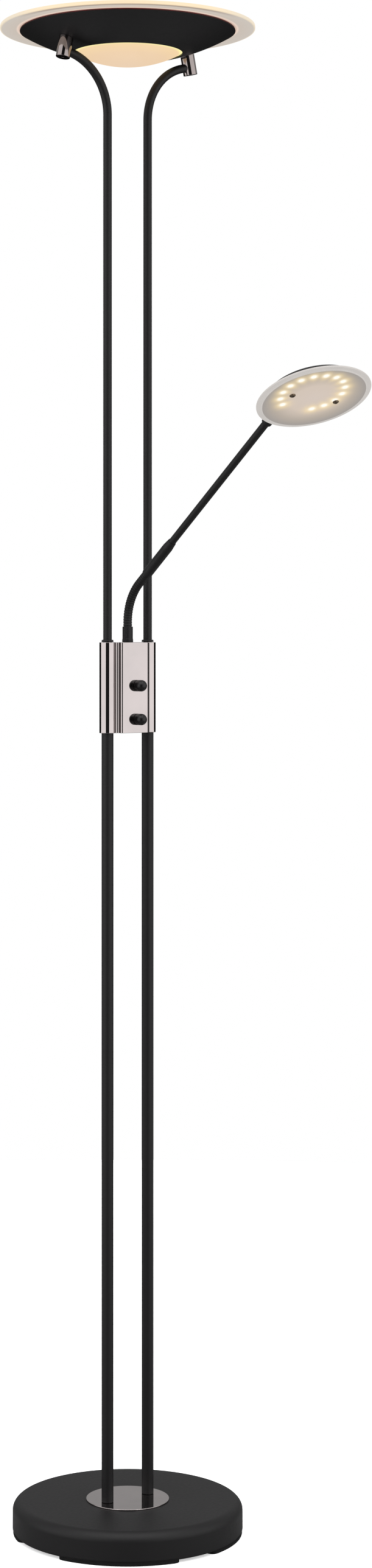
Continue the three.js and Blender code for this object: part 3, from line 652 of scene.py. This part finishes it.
def make_base():
    cover = rounded([
        (0, BASE_TOP, 0),
        (BASE_RADIUS, BASE_TOP, BASE_SHOULDER),
        (BASE_RADIUS, BASE_BOTTOM, 0.7),
        (BASE_RADIUS - COVER_WALL, BASE_BOTTOM, 0.5),
        (BASE_RADIUS - COVER_WALL, BASE_TOP - COVER_WALL, BASE_SHOULDER - COVER_WALL),
        (0, BASE_TOP - COVER_WALL, 0),
    ], 12)
    add(lathe("base_cover", cover, segments=FINE), "stand", "satin_black", "base_shell")

    disc = rounded([
        (0, DISC_TOP, 0), (DISC_RADIUS, DISC_TOP, 0.5),
        (DISC_RADIUS, DISC_TOP - DISC_THICKNESS, 0.2), (0, DISC_TOP - DISC_THICKNESS, 0),
    ])
    add(lathe("polished_disc", disc, segments=FINE), "stand", "black_nickel", "base_disc")

    under = rounded([
        (0, PLATE_TOP, 0), (PLATE_RADIUS, PLATE_TOP, 0.3),
        (PLATE_RADIUS, PLATE_BOTTOM, 0.3), (0, PLATE_BOTTOM, 0),
    ])
    add(lathe("floor_plate", under, segments=FINE), "stand", "satin_black", "base_plate")

    grooves = [(0, PAD_TOP, 0), (PAD_RADIUS, PAD_TOP, 0.3), (PAD_RADIUS, 0, 0.8)]
    for edge in (17, 13, 9, 5):
        grooves += [(edge, 0, 0.2), (edge - 0.5, 0.8, 0.2), (edge - 1, 0, 0.2)]
    grooves.append((0, 0, 0))
    add(lathe("middle_pad", rounded(grooves, 3)), "stand", "black_rubber", "centre_pad")

    middles = {
        "back_right": 90 - FOOT_SPREAD, "back_left": 90 + FOOT_SPREAD,
        "front_left": -90 - FOOT_SPREAD, "front_right": -90 + FOOT_SPREAD,
    }
    for corner, middle in middles.items():
        foot = plate(f"foot_pad_{corner}", [foot_outline(middle)], 0, PLATE_BOTTOM, 0.5)
        add(foot, "stand", "black_rubber", f"foot_{corner}")

    collar = rounded([
        (2.6, -2.6, 0.3), (4.3, -2.6, 0.3), (4.3, 0.3, 0),
        (6.5, 0.3, 0.2), (6.5, 1.9, 1.0), (2.6, 1.9, 0.6),
    ], 5, closed=True)
    behind = Matrix.Translation((0, BASE_RADIUS * MM, GROMMET_HEIGHT * MM))
    behind = behind @ Matrix.Rotation(-math.pi / 2, 4, "X")
    add(lathe("rear_grommet", collar + collar[:1], behind), "stand", "black_rubber", "lead_grommet")


# ---------------------------------------------------------------- poles

def upper_path(side):
    """The centre line of an upper tube: straight up, round the bend and into its barrel."""
    points = []
    for k in range(4):
        height = UPPER_START + (BEND_START - UPPER_START) * k / 4
        points.append(Vector((side * POLE_OFFSET, 0, height)))
    for k in range(49):
        turn = math.radians(BEND_SWEEP) * k / 48
        reach = POLE_OFFSET + BEND_RADIUS * (1 - math.cos(turn))
        points.append(Vector((side * reach, 0, BEND_START + BEND_RADIUS * math.sin(turn))))
    turn = math.radians(BEND_SWEEP)
    ahead = Vector((side * math.sin(turn), 0, math.cos(turn)))
    points.append(points[-1] + ahead * TUBE_INSERT)
    return points


def make_poles():
    for name, side in SIDES.items():
        foot = Matrix.Translation((side * POLE_OFFSET * MM, 0, 0))
        tube = rounded([
            (0, DISC_TOP + TOUCH, 0), (LOWER_RADIUS, DISC_TOP + TOUCH, 0.4),
            (LOWER_RADIUS, BOX_TOP - TOUCH, 0.4), (0, BOX_TOP - TOUCH, 0),
        ])
        add(lathe(f"lower_pole_{name}", tube, foot), "stand", "satin_black", f"lower_tube_{name}")

        bore = UPPER_RADIUS + COLLAR_GAP
        ring = rounded([
            (bore, BOX_TOP + TOUCH, 0), (LOWER_RADIUS, BOX_TOP + TOUCH, 0.2),
            (LOWER_RADIUS, BOX_TOP + COLLAR_HEIGHT, 1.3), (bore, BOX_TOP + COLLAR_HEIGHT, 0.3),
        ], 6, True)
        add(lathe(f"collar_{name}", ring + ring[:1], foot), "stand", "satin_black", f"pole_collar_{name}")

        path = upper_path(side)
        pole = sweep(f"upper_pole_{name}", path, Vector((0, 1, 0)), [UPPER_RADIUS] * len(path))
        add(pole, "stand", "satin_black", f"upper_tube_{name}")


# ---------------------------------------------------------------- switch box

def box_outline():
    """The case from above: a round sleeve at each end, and the block standing forward between them."""
    fillet_x = BOX_HALF_WIDTH + BOX_FILLET
    reach = SLEEVE_RADIUS + BOX_FILLET
    fillet_y = -math.sqrt(reach ** 2 - (POLE_OFFSET - fillet_x) ** 2)
    touch = math.degrees(math.atan2(-fillet_y, POLE_OFFSET - fillet_x))
    corner_x = BOX_HALF_WIDTH - BOX_CORNER
    right = arc(POLE_OFFSET, 0, SLEEVE_RADIUS, 90, touch - 180, 60)
    right += arc(fillet_x, fillet_y, BOX_FILLET, touch, 180, 16)
    right += arc(corner_x, BOX_CORNER - BOX_FRONT, BOX_CORNER, 0, -90, 12)
    return right + [(-x, y) for x, y in reversed(right)]


def knob_place(name):
    """A frame at a knob's centre on the front face, with Z out of the face."""
    position = Vector(JOINTS[f"{name}_knob_turn"]["pos_m"])
    return Matrix.Translation(position) @ Matrix.Rotation(math.pi / 2, 4, "X")


def make_box():
    cavity = [
        (-CAVITY_HALF_WIDTH, CAVITY_FRONT), (CAVITY_HALF_WIDTH, CAVITY_FRONT),
        (CAVITY_HALF_WIDTH, CAVITY_BACK), (-CAVITY_HALF_WIDTH, CAVITY_BACK),
    ]
    bores = [arc(side * POLE_OFFSET, 0, LOWER_RADIUS + TOUCH, 0, 354, 59) for side in SIDES.values()]
    case = plate("switch_case", [box_outline(), cavity, *bores], BOX_BOTTOM, BOX_TOP, 0.4)
    add(case, "stand", "black_nickel", "box_shell")

    for name in ("upper", "lower"):
        place = knob_place(name)
        knob = rounded([
            (0, 9.5, 0), (3.3, 9.5, 0), (3.3, 0.4, 0.2), (KNOB_RADIUS, 0.4, 0.6),
            (KNOB_RADIUS, KNOB_LENGTH - KNOB_RADIUS - 0.1, 0),
        ], 8)
        knob += arc(0, KNOB_LENGTH - KNOB_RADIUS, KNOB_RADIUS, 0, 87, 28) + [(0, KNOB_LENGTH)]
        add(lathe(f"dimmer_knob_{name}", knob, place), f"{name}_knob", "knob_black", f"knob_{name}")


# ---------------------------------------------------------------- gooseneck

arm_axis = Vector(JOINTS["reading_swivel"]["axis"])
neck_turn = math.acos(arm_axis.z)
neck_length = NECK_RISE + NECK_BEND_RADIUS * neck_turn + NECK_STRAIGHT


def neck_point(distance):
    """The neck's centre line, at a distance along it."""
    rise = min(distance, NECK_RISE)
    turn = min(max((distance - NECK_RISE) / NECK_BEND_RADIUS, 0), neck_turn)
    beyond = max(distance - NECK_RISE - NECK_BEND_RADIUS * neck_turn, 0)
    forward = NECK_BEND_RADIUS * (1 - math.cos(turn)) + beyond * math.sin(turn)
    height = NECK_START + rise + NECK_BEND_RADIUS * math.sin(turn) + beyond * math.cos(turn)
    return Vector((0, -forward, height))


def rib_radius(distance):
    """The hose's radius: round ribs with a narrow groove between them."""
    phase = (distance / NECK_RIB_PITCH) % 1.0
    return NECK_RADIUS - NECK_GROOVE * abs(2 * phase - 1) ** 3


def make_neck():
    socket = rounded([
        (2.5, 1053, 0), (4.8, 1053, 0), (4.8, BOX_TOP + 0.1, 0), (6.6, BOX_TOP + 0.1, 0.2),
        (6.45, BOX_TOP + 3.6, 0.8), (6.2, BOX_TOP + 4.6, 0.8),
        (6.2, NECK_START - 0.2, 0.7), (4.2, NECK_START - 0.2, 0.2),
        (4.2, 1066, 0), (2.5, 1066, 0),
    ], 5, True)
    add(lathe("neck_ferrule", socket + socket[:1]), "stand", "satin_black", "neck_socket")

    step = NECK_RIB_PITCH / 8
    for joint in range(1, NECK_JOINTS + 1):
        start = neck_length * (joint - 1) / NECK_JOINTS if joint > 1 else -0.6
        end = neck_length * joint / NECK_JOINTS + (10 if joint == NECK_JOINTS else 0)
        count = round((end - start) / step)
        along = [start + (end - start) * k / count for k in range(count + 1)]
        path = [neck_point(s) for s in along]
        hose = sweep(f"gooseneck_hose_{joint}", path, Vector((1, 0, 0)), [rib_radius(s) for s in along], 48)
        hose.data.materials.append(MATERIALS["satin_black"])
        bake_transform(hose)
        links = [f"neck_link_{joint - 1}"] + ([f"neck_link_{joint}"] if joint == NECK_JOINTS else [])
        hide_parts(*links)


# ---------------------------------------------------------------- reading arm and head

arm_place = Matrix.Translation(neck_point(neck_length) * MM) @ Matrix.Rotation(neck_turn, 4, "X")


def frame_of(origin, x_axis, z_axis):
    """A placement from its origin and two square axes."""
    z = z_axis.normalized()
    x = (x_axis - z * x_axis.dot(z)).normalized()
    y = z.cross(x)
    place = Matrix((x, y, z)).transposed().to_4x4()
    place.translation = origin
    return place


tilt = JOINTS["reading_tilt"]
fork_place = frame_of(Vector(tilt["pos_m"]), -Vector(tilt["axis"]), arm_axis)
head_place = fork_place @ Matrix.Rotation(math.radians(HEAD_DROOP), 4, "X")
# The face's own frame: Z out of the back of the head, Y back towards the arm.
face_place = (
    head_place
    @ Matrix.Translation(Vector((0, -HEAD_BELOW_HINGE, HEAD_AHEAD_OF_HINGE)) * MM)
    @ Matrix.Rotation(-math.pi / 2, 4, "X")
)


def make_arm():
    bore = ARM_RADIUS + ARM_GAP
    coupling = rounded([
        (NECK_RADIUS + 0.15, 0, 0.1), (COUPLING_RADIUS, 0, 0.45), (COUPLING_RADIUS, 50, 6.0),
        (ARM_RADIUS + 0.7, COUPLING_END, 0.5), (bore, COUPLING_END, 0.1),
        (bore, 14, 0), (NECK_RADIUS + 0.15, 13, 0),
    ], 8, True)
    add(lathe("arm_sleeve", coupling + coupling[:1], arm_place), "arm", "satin_black", "neck_coupling")

    tube = rounded([
        (0, ARM_START, 0), (ARM_RADIUS, ARM_START, 0.3), (ARM_RADIUS, ARM_END, 0.3), (0, ARM_END, 0),
    ])
    add(lathe("reading_arm_tube", tube, arm_place), "arm", "satin_black", "arm_tube")

    ferrule = rounded([
        (bore, FERRULE_START, 0.1), (FERRULE_RADIUS - 0.3, FERRULE_START, 0.9),
        (FERRULE_RADIUS, FERRULE_START + 2.5, 0.8),
        (FERRULE_RADIUS, SWIVEL_AT, 0.3), (bore, SWIVEL_AT, 0.1),
    ], 6, True)
    add(lathe("end_ferrule", ferrule + ferrule[:1], arm_place), "arm", "satin_black", "arm_ferrule")


def across(place, x):
    """A placement whose Z runs along the hinge's X axis, starting at x."""
    return place @ Matrix.Translation((x * MM, 0, 0)) @ Matrix.Rotation(math.pi / 2, 4, "Y")


def make_swivel():
    ahead = SWIVEL_AT - TILT_AXIS_AT
    stem = rounded([
        (0, ahead - 20, 0), (3.0, ahead - 20, 0.3), (3.0, ahead + 0.4, 0), (FERRULE_RADIUS, ahead + 0.4, 0.3),
        (FERRULE_RADIUS, -24.5, 1.8), (4.6, -21.6, 0.6), (0, -21.6, 0),
    ], 6)
    fork = lathe("tilt_fork", stem, fork_place)
    # Each ear is drawn in (-Z, Y) of the fork.
    outline = arc(0, 0, EAR_RADIUS, 90, 270, 24) + [(22.6, -EAR_RADIUS), (22.6, EAR_RADIUS)]
    for x in EAR_STARTS:
        carve(fork, plate("ear", [outline], 0, EAR_THICKNESS, 0.45, across(fork_place, x)), "UNION")
    add(fork, "swivel", "satin_black", "swivel_fork")

    pin = rounded([
        (0, -7.2, 0), (3.0, -7.2, 0.8), (3.0, -6.15, 0.1), (1.9, -6.15, 0), (1.9, 6.15, 0),
        (3.0, 6.15, 0.1), (3.0, 7.2, 0.8), (0, 7.2, 0),
    ], 5)
    add(lathe("hinge_screw", pin, across(fork_place, 0)), "swivel", "steel", "tilt_pin")


def cross_screw(name):
    """A pan-head screw with a cross recess, its head towards -Z."""
    crown = -4.15
    body = lathe(name, rounded([
        (0, crown, 0), (2.3, -3.95, 1.2), (3.5, -2.9, 0.7), (3.5, -2.15, 0.2),
        (1.6, -2.15, 0), (1.6, 12, 0), (0, 12.8, 0),
    ], 6))
    arm = 1.75
    half = 0.38
    deep = 1.3
    outline = rounded([
        (half, half, 0), (half, arm, 0.2), (-half, arm, 0.2), (-half, half, 0),
        (-arm, half, 0.2), (-arm, -half, 0.2), (-half, -half, 0), (-half, -arm, 0.2),
        (half, -arm, 0.2), (half, -half, 0), (arm, -half, 0.2), (arm, half, 0.2),
    ], 3, True)
    return carve(body, plate("recess", [outline], -6, crown + deep, 0.05))


def make_reading_head():
    rim = (HOUSING_RADIUS, 1.8)
    bulge = (HOUSING_RADIUS - 7.2, HOUSING_DEPTH - 1.5)
    back = (38.0, HOUSING_DEPTH)
    side = [between_points(rim, bulge, back, k / 16) for k in range(17)]
    inner = [(r - HOUSING_WALL, z - (HOUSING_WALL if z > 6 else 0)) for r, z in side if r > 40]
    shell = [(0, HOUSING_DEPTH), *reversed(side), *inner, (0, HOUSING_DEPTH - HOUSING_WALL)]
    housing = lathe("head_casing", shell, face_place, FINE)
    add(housing, "reading_head", "satin_black", "reading_housing")

    cover = rounded([
        (0, -2, 0), (WINDOW_RADIUS, -2, 0), (FACE_STEP_RADIUS, -2, 0.5),
        (FACE_STEP_RADIUS + 0.3, -1, 0.3), (FACE_RADIUS, -1, 1.0),
        (FACE_RADIUS, 1.5, 1.0), (WINDOW_RADIUS, 1.5, 0), (0, 1.5, 0),
    ], 6)
    glass = lathe("reading_cover", cover, face_place, FINE)
    add(glass, "reading_head", "frosted_glass", "reading_glass")
    glass.data.materials[0] = FROSTED_RIM
    glass.data.materials.append(LIT_WINDOW)
    for face in glass.data.polygons:
        corners = [glass.data.vertices[i].co for i in face.vertices]
        if max(math.hypot(corner.x, corner.y) for corner in corners) < WINDOW_RADIUS * MM + 1e-6:
            face.material_index = 1

    for name, sign in SIDES.items():
        screw = cross_screw(f"cover_screw_{name}")
        at = face_place @ Matrix.Translation((sign * FACE_SCREW_OFFSET * MM, 0, 0))
        screw.matrix_world = at @ Matrix.Rotation(math.radians(20 * sign), 4, "Z")
        add(screw, "reading_head", "dark_screw", f"face_screw_{name}")

    # The bracket: a round foot on the back of the casing, and a lug up to the hinge.
    top = HOUSING_DEPTH + 2.2 - HEAD_BELOW_HINGE
    bottom = HOUSING_DEPTH + 0.3 - HEAD_BELOW_HINGE
    upright = head_place @ Matrix.Translation((0, 0, 15.6 * MM)) @ Matrix.Rotation(-math.pi / 2, 4, "X")
    foot = rounded([(0, bottom, 0), (13, bottom, 0.2), (13, top, 0.9), (0, top, 0)], 6)
    bracket = lathe("tilt_bracket", foot, upright)
    outline = arc(0, 0, 4.2, 180, 0, 24) + [(4.2, -2), (-4, top - 0.6), (-22, top - 0.6), (-22, top + 0.4)]
    carve(bracket, plate("lug", [outline], 0, 5.4, 0.5, across(head_place, -2.7)), "UNION")
    add(bracket, "reading_head", "satin_black", "head_bracket")


# ---------------------------------------------------------------- lamp head

bowl_centre = BOWL_OPENING_HEIGHT + math.sqrt(BOWL_SPHERE ** 2 - BOWL_OPENING ** 2)


def make_lamp_head():
    outside = bowl_arc(BOWL_SPHERE, bowl_centre, BOWL_OPENING, BOWL_RIM, 40)
    inside = bowl_arc(BOWL_SPHERE - BOWL_WALL, bowl_centre, BOWL_OPENING, BOWL_RIM - BOWL_LIP, 30)
    edge = rounded([
        outside[-2] + (0,), outside[-1] + (0.5,), (BOWL_RIM, BOWL_RIM_TOP, 0.6),
        (BOWL_RIM - BOWL_LIP, BOWL_RIM_TOP, 0.4), inside[-1] + (0,),
    ], 5)
    bowl = outside[:-1] + edge[1:] + list(reversed(inside))[1:] + outside[:1]
    add(lathe("uplight_bowl", bowl, segments=FINE), "stand", "satin_black", "bowl")

    bottom = GLASS_TOP - GLASS_THICKNESS
    disc = rounded([
        (0, bottom, 0), (GLASS_RADIUS, bottom, 0.8), (GLASS_RADIUS, GLASS_TOP, 0.8), (0, GLASS_TOP, 0),
    ])
    add(lathe("frosted_disc", disc, segments=FINE), "stand", "frosted_glass", "glass_disc")

    seal = rounded([
        (BOWL_RIM - 0.4, BOWL_RIM_TOP + 0.2, 0.3), (BOWL_RIM - 0.4, bottom - 0.2, 0.3),
        (BOWL_RIM - 3.2, bottom - 0.2, 0.1), (BOWL_RIM - 3.2, BOWL_RIM_TOP + 0.2, 0.1),
    ], 5, True)
    ring = add(lathe("rim_seal", seal + seal[:1], segments=FINE), "stand", "black_rubber", "glass_seal")
    ring.data.materials[0] = SEAL

    centre = DOME_BOTTOM + DOME_SPHERE
    dome = bowl_arc(DOME_SPHERE, centre, 0, DOME_RADIUS, 32)
    dome += rounded([
        (DOME_RADIUS, FLANGE_BOTTOM, 0), (FLANGE_RADIUS, FLANGE_BOTTOM, 0.3),
        (FLANGE_RADIUS, FLANGE_TOP, 0.3), (DOME_RADIUS - DOME_WALL, FLANGE_TOP, 0),
    ])[1:]
    inside = bowl_arc(DOME_SPHERE - DOME_WALL, centre, 0, DOME_RADIUS - DOME_WALL, 24)
    dome += list(reversed(inside))
    add(lathe("opal_dome", dome, segments=FINE), "stand", "warm_opal", "dome_diffuser")

    for name, side in SIDES.items():
        make_barrel(name, side)


def make_barrel(name, side):
    """The polished post that carries the bowl on a tube's end, cut to the bowl's curve at its top."""
    turn = math.radians(90 - BEND_SWEEP)
    outward = Vector((side * math.cos(turn), 0, math.sin(turn)))
    upward = Vector((-side * math.sin(turn), 0, math.cos(turn)))
    origin = upper_path(side)[-2] + outward * BARREL_RADIUS - upward * BARREL_TUBE_HEIGHT
    place = frame_of(origin * MM, outward, upward)

    centre = place.inverted() @ Vector((0, 0, bowl_centre * MM)) / MM
    reach = BOWL_SPHERE + TOUCH
    hole = 1.5
    bm = bmesh.new()
    turns = [2 * math.pi * i / ROUND for i in range(ROUND)]
    edges = rounded([(hole, 4, 0), (hole, 0, 0.2), (BARREL_RADIUS, 0, 0.55), (BARREL_RADIUS, 14, 0)], 5)
    rings = [[bm.verts.new((r * math.cos(a), r * math.sin(a), z)) for a in turns] for r, z in edges]
    tip = []
    for a in turns:
        x = BARREL_RADIUS * math.cos(a)
        y = BARREL_RADIUS * math.sin(a)
        beside = (x - centre.x) ** 2 + (y - centre.y) ** 2
        tip.append(bm.verts.new((x, y, centre.z - math.sqrt(reach ** 2 - beside))))
    rings.append(tip)
    for low, high in zip(rings, rings[1:]):
        bridge(bm, low, high)
    bm.faces.new(rings[0])
    bm.faces.new(tip)
    barrel = to_object(f"barrel_post_{name}", bm, place)
    add(barrel, "stand", "black_nickel", f"barrel_{name}")
    # The posts take the darker copy of the black nickel, which is painted shade.
    barrel.data.materials[0] = SHADED_POST_NICKEL


# ---------------------------------------------------------------- carried-over nodes

def dress_frame():
    """Gives every CAD node the material of its slot in the record."""
    for subpart in frame["record"]["subparts"]:
        node = frame["nodes"][subpart["node"]]
        material = MATERIALS[subpart["material_slot"]]
        for place in node.material_slots:
            place.material = material


# ---------------------------------------------------------------- studio

CAMERA_AZIMUTH = -37
CAMERA_DISTANCE = 3.57
CAMERA_HEIGHT = 1.078
ROOM_LIGHT = 1.65
BACK_LIGHT = 0.28  # the upper back wall's share of the room light
FLOOR_THROW = (150, 150, 150)  # the floor's colour where it lights the lamp


def towards_camera():
    turn = math.radians(CAMERA_AZIMUTH)
    return Vector((math.sin(turn), -math.cos(turn), 0))


def make_camera():
    data = bpy.data.cameras.new("camera")
    data.lens = 68.5
    data.sensor_width = 36
    data.shift_x = 0.0372
    data.shift_y = -0.0982
    camera = bpy.data.objects.new("camera", data)
    camera.location = towards_camera() * CAMERA_DISTANCE + Vector((0, 0, CAMERA_HEIGHT))
    camera.rotation_euler = (math.pi / 2, 0, math.radians(CAMERA_AZIMUTH))
    bpy.context.scene.collection.objects.link(camera)
    bpy.context.scene.camera = camera


def make_floor():
    floor = lathe("studio_floor", [(0, 0), (2500, 0)], segments=FINE)
    s = Shader("studio_floor", Roughness=0.9, Specular_IOR_Level=0.1)
    s.surface.inputs["Emission Color"].default_value = (1, 1, 1, 1)
    # White to the eye, but a darker floor for the light it throws back.
    seen = s.node("LightPath").outputs["Is Camera Ray"]
    white = s.ramp(s.noise(3, 2), [(0.2, (243, 243, 243)), (0.8, (247, 247, 247))])
    s.feed("Base Color", s.mix(seen, srgb(*FLOOR_THROW), white))
    s.feed("Emission Strength", s.between(seen, 0.0, 0.5))
    floor.data.materials.append(s.material)


def make_world():
    """A white studio with a dark gap behind the rest view's camera, fixed in the room."""
    world = bpy.data.worlds.new("studio")
    world.use_nodes = True
    bpy.context.scene.world = world
    tree = world.node_tree
    tree.nodes.clear()

    def node(kind, inputs=(), **settings):
        made = tree.nodes.new("ShaderNode" + kind)
        for key, value in settings.items():
            setattr(made, key, value)
        for key, value in dict(inputs).items():
            if isinstance(value, bpy.types.NodeSocket):
                tree.links.new(value, made.inputs[key])
            else:
                made.inputs[key].default_value = value
        return made

    direction = node("TexCoord").outputs["Generated"]
    level = node("VectorMath", {0: direction, 1: (1, 1, 0)}, operation="MULTIPLY").outputs[0]
    unit = node("VectorMath", {0: level}, operation="NORMALIZE").outputs[0]
    towards = tuple(towards_camera())
    facing = node("VectorMath", {0: unit, 1: towards}, operation="DOT_PRODUCT").outputs["Value"]
    angle = node("Math", {0: facing}, operation="ARCCOSINE").outputs[0]
    share = node("Math", {0: angle, 1: math.pi}, operation="DIVIDE").outputs[0]
    ramp = node("ValToRGB", {0: share})
    # Degrees round from behind the camera, and how bright the walls are there.
    stops = [(0, 0.015), (23, 0.015), (26, 1.0), (98, 1.0), (105, 0.0), (180, 0.0)]
    elements = ramp.color_ramp.elements
    for i, (degrees, value) in enumerate(stops):
        element = elements[i] if i < 2 else elements.new(degrees / 180)
        element.position = degrees / 180
        element.color = (value, value, value, 1)
    height = node("SeparateXYZ", {0: direction}).outputs[2]
    # The side walls are bright up to 30 degrees and fade above. The back wall is dark low down.
    ceiling = node("MapRange", {
        "Value": height, "From Min": 0.5, "From Max": 0.85, "To Min": ROOM_LIGHT, "To Max": 0.3 * ROOM_LIGHT,
    }).outputs[0]
    back = node("MapRange", {
        "Value": height, "From Min": 0.08, "From Max": 0.2, "To Min": 0.01, "To Max": BACK_LIGHT * ROOM_LIGHT,
    }).outputs[0]
    sides = node("Background", {"Color": ramp.outputs[0], "Strength": ceiling})
    behind = node("MapRange", {"Value": angle, "From Min": 1.73, "From Max": 1.85}).outputs[0]
    strength = node("Math", {0: back, 1: behind}, operation="MULTIPLY").outputs[0]
    rear = node("Background", {"Color": (1, 1, 1, 1), "Strength": strength})
    room = node("AddShader", {0: sides.outputs[0], 1: rear.outputs[0]})
    page = node("Background", {"Color": (1, 1, 1, 1), "Strength": 1.0})
    seen = node("LightPath").outputs["Is Camera Ray"]
    mix = node("MixShader", {0: seen, 1: room.outputs[0], 2: page.outputs[0]})
    node("OutputWorld", {0: mix.outputs[0]})


def make_lights():
    sun = bpy.data.lights.new("soft_overhead", "SUN")
    sun.energy = 2.2
    sun.angle = math.radians(70)
    lamp = bpy.data.objects.new("soft_overhead", sun)
    lamp.rotation_euler = (math.radians(18), math.radians(-14), 0)
    bpy.context.scene.collection.objects.link(lamp)


bpy.context.scene.view_settings.view_transform = "Standard"
make_camera()
make_floor()
make_world()
make_lights()
make_base()
make_poles()
make_box()
make_neck()
make_arm()
make_swivel()
make_reading_head()
make_lamp_head()
dress_frame()
